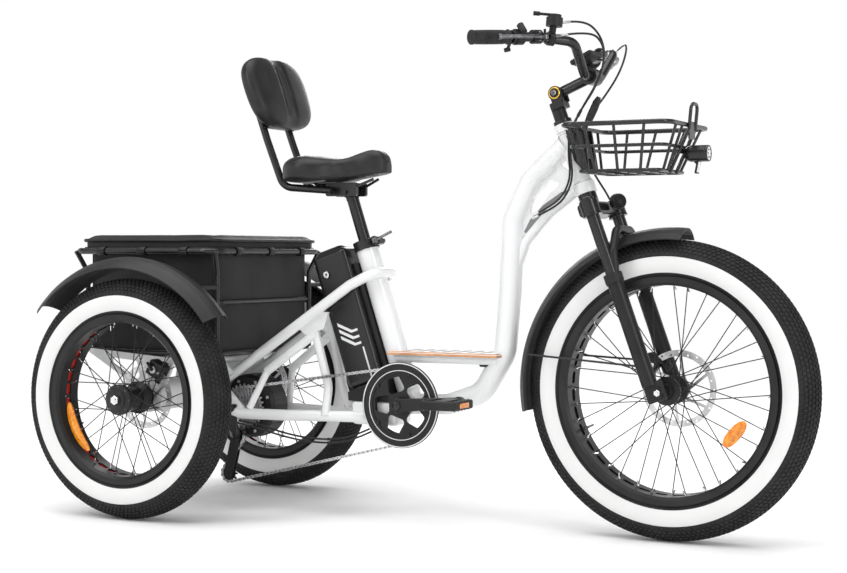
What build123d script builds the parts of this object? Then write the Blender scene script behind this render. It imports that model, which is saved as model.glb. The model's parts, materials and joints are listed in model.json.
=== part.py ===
"""Electric tricycle with fat tyres: frame, fork, three wheels, drive, saddle with backrest and cargo basket.

The model stands on the ground at Z = 0. +X is the way it rides, +Y is the rider's left, and the
origin is under the middle of its overall length. All sizes are in millimetres.
"""

import os
from math import atan2, cos, pi, radians, sin, sqrt

from build123d import *

os.makedirs("parts", exist_ok=True)

# ---------------------------------------------------------------- driving dimensions
WHEELBASE = 1291.0
TRACK = 676.0
FRONT_TYRE_R = 347.0
REAR_TYRE_R = 298.0
FRONT_RIM_R = 262.0
REAR_RIM_R = 210.0
TYRE_WIDTH = 94.0
RIM_WIDTH = 84.0
RIM_DEPTH = 20.0
RIM_WALL = 3.5
SPOKES = 36
SPOKE_D = 2.4
FRONT_DISC_R = 90.0
REAR_DISC_R = 80.0
DISC_THICKNESS = 2.0
RUNNING_GAP = 0.05

HEAD_ANGLE = 70.0
HEAD_TUBE_LENGTH = 175.0
FORK_HALF_WIDTH = 82.0
FORK_LEG_LEAD = 27.0
STANCHION_D = 30.0
LOWER_D = 40.0

SEAT_ANGLE = 71.4
SEAT_TUBE_D = 56.0
SEAT_POST_D = 30.9
BB_AHEAD = 617.0
BB_UP = 287.0
CRANK_LENGTH = 170.0
CHAIN_PITCH = 12.7
CHAINRING_TEETH = 46
COG_TEETH = (14, 16, 18, 20, 22, 24, 28)
COG_SPACING = 4.8
CHAIN_SIDE = -54.0
JOCKEY_TEETH = 11
CHAIN_COG = 24
DRIVE_SPROCKET_TEETH = 16
AXLE_SPROCKET_TEETH = 22
DRIVE_CHAIN_SIDE = 70.0

REAR_X = -(WHEELBASE + FRONT_TYRE_R - REAR_TYRE_R) / 2


def spot(ahead, side, up):
    """A point from its distance ahead of the rear axle, to the left, and above the ground."""
    return Vector(REAR_X + ahead, side, up)


def slope_plane(origin, angle):
    """A plane whose normal climbs rearward at this angle from the ground and whose x points ahead."""
    lean = radians(90 - angle)
    return Plane(origin=origin, x_dir=(cos(lean), 0, sin(lean)), z_dir=(-sin(lean), 0, cos(lean)))


# The steering axis starts at the bottom of the head tube, the seat tube at the bottom bracket.
HEAD = slope_plane(spot(1081, 0, 801), HEAD_ANGLE)
SEAT = slope_plane(spot(BB_AHEAD, 0, BB_UP), SEAT_ANGLE)


def head(ahead, side, up):
    """A point measured from the bottom of the head tube, along and across the steering axis."""
    return HEAD.from_local_coords(Vector(ahead, side, up))


def seat(ahead, side, up):
    """A point measured from the bottom bracket, along and across the seat tube."""
    return SEAT.from_local_coords(Vector(ahead, side, up))


FRONT_AXLE = spot(WHEELBASE, 0, FRONT_TYRE_R)
BB = spot(BB_AHEAD, 0, BB_UP)
MOTOR = spot(150, 0, 262)
SIDES = (("left", 1), ("right", -1))
REAR_AXLE = {name: spot(0, side * TRACK / 2, REAR_TYRE_R) for name, side in SIDES}


# ---------------------------------------------------------------- shared shapes
def bar(points, diameter, bend=0.0, bore=0.0, closed=False):
    """A round bar or tube along a route of straight runs with rounded corners."""
    with BuildPart() as made:
        with BuildLine() as route:
            if bend:
                FilletPolyline(*points, radius=bend, close=closed)
            else:
                Polyline(*points)
        with BuildSketch(Plane(origin=route.line @ 0, z_dir=route.line % 0)):
            Circle(diameter / 2)
            if bore:
                Circle(bore / 2, mode=Mode.SUBTRACT)
        sweep()
    return made.part


def rod(start, end, radius, bore=0.0):
    """A straight round rod or tube between two points."""
    run = Vector(*end) - Vector(*start)
    with BuildPart() as made:
        with BuildSketch(Plane(origin=start, z_dir=run)):
            Circle(radius)
            if bore:
                Circle(bore, mode=Mode.SUBTRACT)
        extrude(amount=run.length)
    return made.part


def block(centre, size, rounding=0.0, plane=None):
    """A box with rounded edges, set square to the ground or to the plane given."""
    with BuildPart(plane or Plane.XY) as made:
        with Locations(centre):
            Box(*size)
        if rounding:
            fillet(made.edges(), rounding)
    return made.part


def plate(points, thickness, side, rounding=0.0):
    """A flat plate standing along the ride, from its outline of (ahead, up) points."""
    with BuildPart() as made:
        with BuildSketch(Plane(origin=(REAR_X, side, 0), x_dir=(1, 0, 0), z_dir=(0, -1, 0))) as outline:
            with BuildLine():
                Polyline(*points, close=True)
            make_face()
            if rounding:
                fillet(outline.vertices(), rounding)
        extrude(amount=thickness / 2, both=True)
    return made.part


def ring_about(centre, profile, start=0.0, turn=360.0):
    """A body of revolution about a wheel's axle, from (radius, side) profile points."""
    angle = radians(start)
    outward = (cos(angle), 0, sin(angle))
    with BuildPart() as made:
        with BuildSketch(Plane(origin=centre, x_dir=outward, z_dir=(-sin(angle), 0, cos(angle)))):
            with BuildLine():
                Polyline(*profile, close=True)
            make_face()
        revolve(axis=Axis(centre, (0, -1, 0)), revolution_arc=turn)
    return made.part


def disc_about(centre, radius, width, bore=0.0):
    """A plain disc or ring square to an axle."""
    return ring_about(
        centre,
        [(bore, -width / 2), (radius, -width / 2), (radius, width / 2), (bore, width / 2)],
    )


def across(centre, side):
    """The same axle line at another distance to the left."""
    return Vector(centre.X, side, centre.Z)


def around(centre, radius, angle, side):
    """A point at an angle around an axle, at a distance to the left of its centre."""
    return centre + Vector(radius * cos(radians(angle)), side, radius * sin(radians(angle)))


def save(part, name):
    """Label a finished piece and write it out."""
    part.label = name
    export_step(part, f"parts/{name}.step")


def joined(*pieces):
    """One piece from several that are welded, cast or moulded together."""
    with BuildPart() as made:
        for piece in pieces:
            add(piece)
    return made.part


def drilled(body, *tools):
    """A piece with holes or clearances cut out of it."""
    with BuildPart() as made:
        add(body)
        for tool in tools:
            add(tool, mode=Mode.SUBTRACT)
    return made.part


# ---------------------------------------------------------------- wheels
def make_tyre(centre, rim_radius, tyre_radius):
    """A fat tyre: a C-shaped casing whose beads sit inside the rim."""
    half = TYRE_WIDTH / 2
    bead = rim_radius - 12
    middle = (rim_radius + tyre_radius) / 2

    shoulder = tyre_radius - 18
    lip = rim_radius + 2

    def outline(inset):
        edge = half - 12 - inset / 2
        Line((bead, -35 + inset), (lip, -37 + inset))
        ThreePointArc((lip, -37 + inset), (middle, -half + inset), (shoulder, -edge))
        ThreePointArc((shoulder, -edge), (tyre_radius - inset, 0), (shoulder, edge))
        ThreePointArc((shoulder, edge), (middle, half - inset), (lip, 37 - inset))
        Line((lip, 37 - inset), (bead, 35 - inset))
        Line((bead, 35 - inset), (bead, -35 + inset))

    with BuildPart() as tyre:
        with BuildSketch(Plane(origin=centre, x_dir=(1, 0, 0), z_dir=(0, 0, 1))):
            with BuildLine():
                outline(0)
            make_face()
            with BuildLine():
                outline(6)
            make_face(mode=Mode.SUBTRACT)
        revolve(axis=Axis(centre, (0, -1, 0)))
    return tyre.part


def make_rim(centre, rim_radius):
    """A wide single-wall rim: a shallow channel with weight-saving slots between the spokes."""
    outer = RIM_WIDTH / 2
    inner = outer - RIM_WALL
    floor = rim_radius - RIM_DEPTH
    channel = [
        (floor, -outer + 6),
        (floor + 6, -outer),
        (rim_radius, -outer),
        (rim_radius, -inner),
        (floor + RIM_WALL + 3, -inner),
        (floor + RIM_WALL, -inner + 4),
        (floor + RIM_WALL, inner - 4),
        (floor + RIM_WALL + 3, inner),
        (rim_radius, inner),
        (rim_radius, outer),
        (floor + 6, outer),
        (floor, outer - 6),
    ]
    slots = []
    for step in range(SPOKES):
        angle = radians(360 / SPOKES * (step + 0.5))
        outward = Vector(cos(angle), 0, sin(angle))
        with BuildPart() as slot:
            with BuildSketch(Plane(origin=centre + outward * (floor - 5), x_dir=(0, 1, 0), z_dir=outward)):
                SlotOverall(30, 17, rotation=90)
            extrude(amount=RIM_WALL + 10)
        slots.append(slot.part)
    return drilled(ring_about(centre, channel), *slots)


def make_spokes(centre, flange_radius, flange_side, rim_radius):
    """Thirty-six spokes laced three-cross from both hub flanges to the rim."""
    spokes = []
    floor = rim_radius - RIM_DEPTH + RIM_WALL - 0.5
    for number in range(SPOKES):
        side = 1 if number % 2 else -1
        lead = 1 if (number // 2) % 2 else -1
        rim_angle = 360 / SPOKES * number
        start = around(centre, flange_radius - 5, rim_angle + lead * 62, side * (flange_side + lead * 2.2))
        end = around(centre, floor, rim_angle, side * 12)
        spokes.append(rod(start, end, SPOKE_D / 2))
    return spokes


def make_disc(centre, radius):
    """A brake disc: a braking ring with holes, on six curved-looking arms."""
    arms = []
    for step in range(6):
        arms.append(
            rod(around(centre, 24, 60 * step, 0), around(centre, radius - 14, 60 * step + 28, 0), 3.5),
        )
    flat = disc_about(centre, radius + 5, DISC_THICKNESS)
    with BuildPart() as spider:
        for arm in arms:
            add(arm)
        add(flat, mode=Mode.INTERSECT)
    band = disc_about(centre, radius, DISC_THICKNESS, radius - 15)
    boss = disc_about(centre, 27, DISC_THICKNESS, 21)
    holes = []
    for step in range(24):
        hole_centre = around(centre, radius - 5 - 5 * (step % 2), 15 * step, -DISC_THICKNESS)
        holes.append(rod(hole_centre, hole_centre + Vector(0, 2 * DISC_THICKNESS, 0), 2.5))
    return drilled(joined(spider.part, band, boss), *holes)


FRONT_FLANGE_SIDE = 28.0
REAR_FLANGE_SIDE = 38.0
FRONT_AXLE_R = 6.0
HALF_SHAFT_R = 10.0
FRONT_DISC_SIDE = 58.0
REAR_DISC_SIDE = 268.0

save(make_tyre(FRONT_AXLE, FRONT_RIM_R, FRONT_TYRE_R), "front_tyre")
save(make_rim(FRONT_AXLE, FRONT_RIM_R), "front_rim")

front_hub_profile = [
    (FRONT_AXLE_R + RUNNING_GAP, -50),
    (16, -50),
    (20, -34),
    (33, -FRONT_FLANGE_SIDE - 4),
    (33, -FRONT_FLANGE_SIDE + 4),
    (20, -20),
    (20, 20),
    (33, FRONT_FLANGE_SIDE - 4),
    (33, FRONT_FLANGE_SIDE + 4),
    (20, 36),
    (20, FRONT_DISC_SIDE + DISC_THICKNESS / 2 + 3),
    (FRONT_AXLE_R + RUNNING_GAP, FRONT_DISC_SIDE + DISC_THICKNESS / 2 + 3),
]
front_hub = joined(
    ring_about(FRONT_AXLE, front_hub_profile),
    disc_about(across(FRONT_AXLE, FRONT_DISC_SIDE - 3), 26, 4, 15),
    *make_spokes(FRONT_AXLE, 33, FRONT_FLANGE_SIDE, FRONT_RIM_R),
)
save(front_hub, "front_hub")
save(make_disc(across(FRONT_AXLE, FRONT_DISC_SIDE), FRONT_DISC_R), "front_disc")

for name, side in SIDES:
    axle = REAR_AXLE[name]
    save(make_tyre(axle, REAR_RIM_R, REAR_TYRE_R), f"rear_tyre_{name}")
    save(make_rim(axle, REAR_RIM_R), f"rear_rim_{name}")
    middle = axle.Y * side
    hub_profile = [
        (0, 30),
        (HALF_SHAFT_R, 30),
        (HALF_SHAFT_R, 262),
        (20, 262),
        (20, middle - REAR_FLANGE_SIDE - 12),
        (40, middle - REAR_FLANGE_SIDE - 5),
        (40, middle - REAR_FLANGE_SIDE + 5),
        (29, middle - REAR_FLANGE_SIDE + 14),
        (29, middle + REAR_FLANGE_SIDE - 14),
        (38, middle + REAR_FLANGE_SIDE - 5),
        (38, middle + REAR_FLANGE_SIDE + 5),
        (24, middle + REAR_FLANGE_SIDE + 8),
        (24, 386),
        (14, 389),
        (14, 392),
        (9, 392),
        (9, 397),
        (0, 397),
    ]
    hub = joined(
        ring_about(across(axle, 0), [(radius, side * out) for radius, out in hub_profile]),
        disc_about(across(axle, side * (REAR_DISC_SIDE + 3)), 26, 4, 10),
        *make_spokes(axle, 40, REAR_FLANGE_SIDE, REAR_RIM_R),
    )
    save(hub, f"rear_hub_{name}")
    save(make_disc(across(axle, side * REAR_DISC_SIDE), REAR_DISC_R), f"rear_disc_{name}")


# ---------------------------------------------------------------- frame
HEAD_BORE_R = 17.0
BB_BORE_R = 17.0
STEERER_R = 14.0
SPINDLE_R = 8.5
MAIN_TUBE_D = 54.0
STAY_D = 26.0
STAY_SIDE = 58.0
AXLE_TUBE_R = 40.0
AXLE_TUBE_INNER = 92.0
AXLE_TUBE_OUTER = 255.0
STEP_TOP = 420.0
STEP_AHEAD = 724.0
STEP_LENGTH = 300.0

head_tube = rod(head(0, 0, 0), head(0, 0, HEAD_TUBE_LENGTH), 21)
head_flares = joined(
    rod(head(0, 0, 0), head(0, 0, 26), 26),
    rod(head(0, 0, HEAD_TUBE_LENGTH - 18), head(0, 0, HEAD_TUBE_LENGTH), 24),
)
main_route = [
    head(-10, 0, 128),
    spot(942, 0, 842),
    spot(893, 0, 745),
    spot(884, 0, 560),
    spot(872, 0, 420),
    spot(812, 0, 322),
    spot(720, 0, 290),
    BB,
]
main_tube = bar(main_route, MAIN_TUBE_D, 60)
lower_brace = bar([head(-14, 0, 18), spot(985, 0, 756), spot(925, 0, 690), spot(896, 0, 610)], 24, 60)
gusset = plate([(915, 700), (905, 800), (1000, 880), (1045, 850), (1062, 805)], 9, 0)
gusset_slot = plate([(935, 752), (944, 792), (990, 838), (1015, 824), (985, 800), (955, 758)], 30, 0, 6)
seat_tube = rod(seat(0, 0, 0), seat(0, 0, 425), SEAT_TUBE_D / 2)
bb_shell = rod(across(BB, -36), across(BB, 36), 25)
yoke = block(spot(530, 0, 262), (132, 84, 62), 12)
rail_up = STEP_TOP - 11 - 9
step_rails = joined(
    *[rod(spot(590, side * 30, rail_up), spot(862, side * 22, rail_up), 9) for side in (1, -1)],
)
head_bore = rod(head(0, 0, -2), head(0, 0, HEAD_TUBE_LENGTH + 2), HEAD_BORE_R)
seat_bore = rod(seat(0, 0, 60), seat(0, 0, 430), SEAT_POST_D / 2 + RUNNING_GAP)
bb_bore = rod(across(BB, -40), across(BB, 40), BB_BORE_R)
bearings = [
    rod(head(0, 0, 0), head(0, 0, 12), HEAD_BORE_R + 1, STEERER_R + RUNNING_GAP),
    rod(
        head(0, 0, HEAD_TUBE_LENGTH - 12),
        head(0, 0, HEAD_TUBE_LENGTH),
        HEAD_BORE_R + 1,
        STEERER_R + RUNNING_GAP,
    ),
    rod(across(BB, -36), across(BB, -24), BB_BORE_R + 1, SPINDLE_R + RUNNING_GAP),
    rod(across(BB, 24), across(BB, 36), BB_BORE_R + 1, SPINDLE_R + RUNNING_GAP),
]
bored_frame = drilled(
    joined(head_tube, head_flares, main_tube, lower_brace, gusset, seat_tube, bb_shell, yoke, step_rails),
    gusset_slot,
    head_bore,
    seat_bore,
    bb_bore,
)
save(joined(bored_frame, *bearings), "front_frame")

upper_stay = bar(
    [
        spot(106, -STAY_SIDE, 336),
        spot(470, -STAY_SIDE, 580),
        spot(538, -STAY_SIDE, 612),
        spot(538, STAY_SIDE, 612),
        spot(470, STAY_SIDE, 580),
        spot(106, STAY_SIDE, 336),
    ],
    STAY_D,
    34,
)
stay_pieces = [upper_stay]
dropout_slots = []
for name, side in SIDES:
    lower_route = [
        spot(500, side * 30, 250),
        spot(420, side * 52, 250),
        spot(300, side * 80, 249),
        spot(176, side * 98, 249),
        spot(118, side * 98, 262),
    ]
    stay_pieces.append(bar(lower_route, STAY_D + 2, 40))
    strut_route = [spot(404, side * 66, 250), spot(396, side * 35, 322), spot(352, side * 44, 496)]
    stay_pieces.append(bar(strut_route, 22, 60))
    stay_pieces.append(rod(spot(365, side * 46, 458), spot(226, side * 60, 356), 11))
    dropout = [
        (72, 350),
        (128, 376),
        (150, 352),
        (116, 330),
        (184, 262),
        (150, 214),
        (112, 226),
        (72, 300),
    ]
    stay_pieces.append(plate(dropout, 7, side * 98))
    stay_pieces.append(rod(spot(104, side * 52, 338), spot(104, side * 99, 338), 15))
    stay_pieces.append(rod(spot(226, side * 62, 352), spot(196, side * 96, 262), 9))
    slot_plate = [(300, 480), (352, 510), (405, 512), (392, 470), (340, 452)]
    stay_pieces.append(plate(slot_plate, 8, side * 50))
    dropout_slots.append(rod(spot(338, side * 40, 488), spot(338, side * 60, 488), 6))
    dropout_slots.append(rod(across(MOTOR, side * 90), across(MOTOR, side * 110), 6.1))
rear_stays = drilled(joined(*stay_pieces), *dropout_slots, seat_tube, yoke)
save(rear_stays, "rear_stays")

axle_centre = spot(0, 0, REAR_TYRE_R)
axle_pieces = []
for name, side in SIDES:
    inner = across(axle_centre, side * AXLE_TUBE_INNER)
    outer = across(axle_centre, side * AXLE_TUBE_OUTER)
    axle_pieces.append(rod(inner, outer, AXLE_TUBE_R, AXLE_TUBE_R - 5))
    for bearing in (AXLE_TUBE_INNER + 7, AXLE_TUBE_OUTER - 8):
        ring = disc_about(across(axle_centre, side * bearing), AXLE_TUBE_R, 14, HALF_SHAFT_R + RUNNING_GAP)
        axle_pieces.append(ring)
    beam = [(-34, 318), (-20, 395), (104, 395), (128, 340), (30, 262), (-20, 262)]
    cheek = drilled(
        plate(beam, 8, side * 98),
        rod(across(axle_centre, side * 90), across(axle_centre, side * 106), AXLE_TUBE_R - 2),
    )
    axle_pieces.append(cheek)
    brace = plate([(-232, 412), (-205, 412), (30, 395), (60, 395), (30, 330), (-30, 300)], 10, side * 222)
    window = plate([(-170, 392), (-60, 384), (-50, 340), (-75, 338)], 12, side * 222, 8)
    axle_pieces.append(
        drilled(
            brace,
            window,
            rod(across(axle_centre, side * 210), across(axle_centre, side * 235), 38),
        ),
    )
for ahead in (-12, 96):
    axle_pieces.append(rod(spot(ahead, -228, 386), spot(ahead, 228, 386), 12))
save(joined(*axle_pieces), "axle_frame")

# ---------------------------------------------------------------- step, fenders and cargo basket
step_tray = joined(
    block(spot(STEP_AHEAD, 0, STEP_TOP - 7), (STEP_LENGTH, 112, 8), 3),
    block(spot(STEP_AHEAD, 0, STEP_TOP - 1.5), (STEP_LENGTH - 8, 106, 3), 1),
)
step_plate = drilled(
    step_tray,
    seat_tube,
    main_tube,
    rod(seat(0, 0, 60), seat(0, 0, 300), SEAT_TUBE_D / 2 + 0.5),
    bar(main_route, MAIN_TUBE_D + 1, 60),
)
save(step_plate, "step_plate")


def fender_profile(crown, half_width, thickness):
    """A fender's curved section, from edge to edge and back along its inside."""
    drop = 26.0
    outer = []
    for step in range(9):
        share = step / 4 - 1
        outer.append((crown - drop * share * share, half_width * share))
    inner = [(radius - thickness, out) for radius, out in reversed(outer)]
    return outer + inner


RAIL_D = 16.0
BASKET_REAR = -240.0
BASKET_FRONT = 196.0
BASKET_SIDE = 252.0
POST_SIDE = 217.0
POST_FRONT = 181.0
POST_REAR = -225.0
RAIL_TOP = 664.0
RAIL_MIDDLE = 536.0
RAIL_LOW = 407.0
REAR_FENDER_R = 352.0
FRONT_FENDER_R = 375.0
FENDER_THICKNESS = 2.5
rear_fenders = []
for name, side in SIDES:
    fender = [ring_about(REAR_AXLE[name], fender_profile(REAR_FENDER_R, 50, FENDER_THICKNESS), 37, 103)]
    for ahead in (POST_FRONT, POST_REAR):
        up = REAR_TYRE_R + sqrt((REAR_FENDER_R - 22) ** 2 - ahead**2)
        fender.append(
            rod(spot(ahead, side * (TRACK / 2 - 44), up), spot(ahead, side * (POST_SIDE + 4), up), 6),
        )
    rear_fenders.append(joined(*fender))
save(joined(*rear_fenders), "rear_fenders")



def rail_loop(rear, front, side, up, diameter, bend):
    """A closed rectangular rail with rounded corners, lying level."""
    corners = [spot(front, -side, up), spot(front, side, up), spot(rear, side, up), spot(rear, -side, up)]
    return bar(corners, diameter, bend, closed=True)


cargo_pieces = [
    rail_loop(BASKET_REAR, BASKET_FRONT, BASKET_SIDE, RAIL_TOP, RAIL_D, 36),
    rail_loop(POST_REAR, POST_FRONT, POST_SIDE, RAIL_MIDDLE, 13, 20),
    rail_loop(POST_REAR, POST_FRONT, POST_SIDE, RAIL_LOW, RAIL_D, 20),
]
for ahead, outward in ((POST_FRONT, 14), (POST_REAR, -14)):
    for side in (1, -1):
        foot = spot(ahead, side * POST_SIDE, RAIL_LOW)
        knee = spot(ahead, side * POST_SIDE, 608)
        cargo_pieces.append(
            bar([foot, knee, spot(ahead + outward, side * (BASKET_SIDE - 5), RAIL_TOP)], 13, 30),
        )
for ahead in (-120, -22, 76):
    cargo_pieces.append(rod(spot(ahead, -POST_SIDE, 396), spot(ahead, POST_SIDE, 396), 6))
    for side in (1, -1):
        cargo_pieces.append(rod(spot(ahead, side * POST_SIDE, 392), spot(ahead, side * POST_SIDE, 410), 7))
save(drilled(joined(*cargo_pieces), upper_stay), "cargo_frame")

BAG_WALL = 6.0
bag_centre = spot((POST_FRONT + POST_REAR) / 2, 0, 529)
bag_size = (POST_FRONT - POST_REAR - 24, 2 * POST_SIDE - 24, 252)
cargo_bag = drilled(
    block(bag_centre, bag_size, 5),
    block(bag_centre + Vector(0, 0, BAG_WALL), (bag_size[0] - 12, bag_size[1] - 12, bag_size[2])),
)
save(cargo_bag, "cargo_bag")

LID_UNDER = RAIL_TOP + RAIL_D / 2 + 2
LID_REAR = -229.0
LID_FRONT = 185.0
lid_middle = spot((LID_REAR + LID_FRONT) / 2, 0, LID_UNDER + 12)
lid_panel = block(lid_middle, (LID_FRONT - LID_REAR, 478, 24), 8)
save(lid_panel, "bag_lid")


# ---------------------------------------------------------------- battery
BATTERY_HALF = 42.0
BATTERY_FRONT = -42.0
BATTERY_REAR = -142.0
BATTERY_FOOT = 79.0
BATTERY_TOP = 428.0

cradle_outline = [(458, 290), (586, 290), (566, 351), (456, 312)]
spine = block((-35, 0, 215), (13, 40, 330), 2, SEAT)
save(joined(plate(cradle_outline, 2 * BATTERY_HALF, 0, 3), spine), "battery_cradle")

battery_middle = ((BATTERY_FRONT + BATTERY_REAR) / 2, 0, (BATTERY_FOOT + BATTERY_TOP) / 2)
battery_size = (BATTERY_FRONT - BATTERY_REAR, 2 * BATTERY_HALF, BATTERY_TOP - BATTERY_FOOT)
battery_body = block(battery_middle, battery_size, 14, SEAT)
battery_cap = block((battery_middle[0] - 2, 0, BATTERY_TOP - 26), (98, 2 * BATTERY_HALF - 8, 70), 22, SEAT)
battery_lock = rod(seat(-110, -BATTERY_HALF - 4, 372), seat(-110, 0, 372), 9)
save(joined(battery_body, battery_cap, battery_lock), "battery")


# ---------------------------------------------------------------- drive
def pitch_radius(teeth):
    """The radius on which a sprocket's chain rollers sit."""
    return CHAIN_PITCH / (2 * sin(pi / teeth))


def sprocket(centre, side, teeth, bore, width=1.8):
    """A toothed disc for a roller chain, square to its axle."""
    tip = pitch_radius(teeth) + 3.2
    root = pitch_radius(teeth) - 3.9
    points = []
    for number in range(teeth):
        for share, radius in ((-0.32, root), (-0.12, tip), (0.12, tip), (0.32, root)):
            angle = 2 * pi * (number + share) / teeth
            points.append((radius * cos(angle), radius * sin(angle)))
    with BuildPart() as made:
        with BuildSketch(Plane(origin=across(centre, side), x_dir=(1, 0, 0), z_dir=(0, -1, 0))):
            with BuildLine():
                Polyline(*points, close=True)
            make_face()
            Circle(bore, mode=Mode.SUBTRACT)
        extrude(amount=width / 2, both=True)
    return made.part


def chain_loop(wheels, shift):
    """A closed run of straight lines and arcs round (centre, radius, turn) wheels, shifted sideways."""
    joints = []
    for index, (centre, radius, turn) in enumerate(wheels):
        next_centre, next_radius, next_turn = wheels[(index + 1) % len(wheels)]
        gap = next_centre - centre
        first = turn * radius + shift
        second = next_turn * next_radius + shift
        bend = second - first
        reach = sqrt(gap.X**2 + gap.Z**2 - bend**2)
        heading = atan2(gap.Z, gap.X) - atan2(bend, reach)
        right = (sin(heading), -cos(heading))
        leave = (centre.X + first * right[0], centre.Z + first * right[1])
        arrive = (next_centre.X + second * right[0], next_centre.Z + second * right[1])
        joints.append((leave, arrive, (cos(heading), sin(heading))))
    for index, (leave, arrive, heading) in enumerate(joints):
        Line(leave, arrive)
        TangentArc(arrive, joints[(index + 1) % len(joints)][0], tangent=heading)


def chain_plates(wheels, side):
    """The two rows of side plates of a roller chain."""
    rows = []
    for offset in (-2.7, 2.7):
        with BuildPart() as row:
            with BuildSketch(Plane(origin=(0, side + offset, 0), x_dir=(1, 0, 0), z_dir=(0, -1, 0))):
                with BuildLine():
                    chain_loop(wheels, 4)
                make_face()
                with BuildLine():
                    chain_loop(wheels, -4)
                make_face(mode=Mode.SUBTRACT)
            extrude(amount=0.6, both=True)
        rows.append(row.part)
    return rows


CRANK_ANGLE = 5.4
CRANK_SIDE = 78.0
CRANK_THICKNESS = 14.0
GUARD_R = 106.0
PEDAL_IN = 98.0
PEDAL_OUT = 198.0
PEDAL_AXLE_R = 5.0

chainring_ring = sprocket(BB, CHAIN_SIDE, CHAINRING_TEETH, 70, 2.0)
web = disc_about(across(BB, CHAIN_SIDE - 5), 84, 4, 15)
web_windows = []
for step in range(5):
    with BuildPart() as window:
        window_angle = 72 * step + 36
        middle = around(across(BB, CHAIN_SIDE - 5), 52, window_angle, 0)
        outward = (cos(radians(window_angle)), 0, sin(radians(window_angle)))
        with BuildSketch(Plane(origin=middle, x_dir=outward, z_dir=(0, -1, 0))) as window_sketch:
            Trapezoid(50, 40, 78, rotation=-90)
            fillet(window_sketch.vertices(), 9)
        extrude(amount=10, both=True)
    web_windows.append(window.part)
guard = disc_about(across(BB, CHAIN_SIDE - 8), GUARD_R, 3, 78)
guard_bolts = []
for step in range(5):
    bolt = around(across(BB, CHAIN_SIDE), 77, 72 * step, 0)
    guard_bolts.append(rod(bolt, bolt + Vector(0, -10, 0), 4))
save(joined(chainring_ring, drilled(web, *web_windows), guard, *guard_bolts), "chainring")


def crank_arm(side, angle):
    """A crank arm from its boss to the pedal eye, with the pedal's axle screwed in."""
    eye = around(across(BB, 0), CRANK_LENGTH, angle, side * CRANK_SIDE)
    boss = across(BB, side * CRANK_SIDE)
    outward = (eye - boss).normalized()
    with BuildPart() as arm:
        with BuildSketch(Plane(origin=boss, x_dir=outward, z_dir=(0, -1, 0))):
            with BuildLine():
                Polyline((0, -17), (CRANK_LENGTH, -12), (CRANK_LENGTH, 12), (0, 17), close=True)
            make_face()
            Circle(19)
            with Locations((CRANK_LENGTH, 0)):
                Circle(14)
        extrude(amount=CRANK_THICKNESS / 2, both=True)
        fillet(arm.edges().group_by(Axis.Y)[0], 2.5)
        fillet(arm.edges().group_by(Axis.Y)[-1], 2.5)
    cap = rod(across(BB, side * (CRANK_SIDE + 6)), across(BB, side * (CRANK_SIDE + 10)), 12)
    pedal_axle = rod(eye, across(eye, side * (PEDAL_OUT - 8)), PEDAL_AXLE_R)
    return joined(arm.part, cap, pedal_axle)


spindle = rod(across(BB, -CRANK_SIDE), across(BB, CRANK_SIDE - 7), SPINDLE_R)
right_boss = rod(across(BB, CHAIN_SIDE - 2), across(BB, -CRANK_SIDE), 15)
save(drilled(joined(crank_arm(-1, CRANK_ANGLE), right_boss), spindle), "crank_right")
save(joined(crank_arm(1, CRANK_ANGLE + 180), spindle), "crank_left")


def make_pedal(side, angle):
    """A flat platform pedal: a barrel on its axle inside an open frame."""
    eye = around(across(BB, 0), CRANK_LENGTH, angle, 0)
    middle = across(eye, side * (PEDAL_IN + PEDAL_OUT) / 2)
    width = PEDAL_OUT - PEDAL_IN
    frame = block(middle, (96, width, 22), 5)
    windows = []
    for ahead in (-1, 1):
        windows.append(block(middle + Vector(ahead * 25, 0, 0), (20, width - 30, 30), 4))
    bore = rod(
        across(eye, side * (PEDAL_IN - 2)),
        across(eye, side * (PEDAL_OUT - 6)),
        PEDAL_AXLE_R + RUNNING_GAP,
    )
    return drilled(frame, *windows, bore)


save(make_pedal(-1, CRANK_ANGLE), "pedal_right")
save(make_pedal(1, CRANK_ANGLE + 180), "pedal_left")

MOTOR_R = 82.0
MOTOR_AXLE_R = 6.0
cogs = []
for index, teeth in enumerate(reversed(COG_TEETH)):
    cogs.append(sprocket(MOTOR, CHAIN_SIDE + COG_SPACING * (1 - index), teeth, 15))
freewheel = disc_about(across(MOTOR, -64), 18, 36, MOTOR_AXLE_R + RUNNING_GAP)
save(joined(freewheel, *cogs), "cassette")

motor_profile = [
    (MOTOR_AXLE_R + RUNNING_GAP, -45),
    (34, -45),
    (36, -40),
    (MOTOR_R - 8, -36),
    (MOTOR_R, -28),
    (MOTOR_R, 30),
    (MOTOR_R - 6, 38),
    (50, 42),
    (30, 50),
    (20, 52),
    (20, DRIVE_CHAIN_SIDE + 5),
    (MOTOR_AXLE_R + RUNNING_GAP, DRIVE_CHAIN_SIDE + 5),
]
cover_bolts = []
for step in range(8):
    seat_point = around(across(MOTOR, 0), MOTOR_R - 14, 45 * step, 36)
    cover_bolts.append(rod(seat_point, seat_point + Vector(0, 7, 0), 4))
drive_sprocket = sprocket(MOTOR, DRIVE_CHAIN_SIDE, DRIVE_SPROCKET_TEETH, 12)
save(joined(ring_about(across(MOTOR, 0), motor_profile), drive_sprocket, *cover_bolts), "motor_drum")

differential_profile = [
    (HALF_SHAFT_R + RUNNING_GAP, -78),
    (22, -78),
    (22, -50),
    (34, -42),
    (34, 42),
    (24, 52),
    (24, DRIVE_CHAIN_SIDE + 8),
    (HALF_SHAFT_R + RUNNING_GAP, DRIVE_CHAIN_SIDE + 8),
]
axle_sprocket = sprocket(axle_centre, DRIVE_CHAIN_SIDE, AXLE_SPROCKET_TEETH, 20)
save(joined(ring_about(axle_centre, differential_profile), axle_sprocket), "axle_sprocket")

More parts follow.
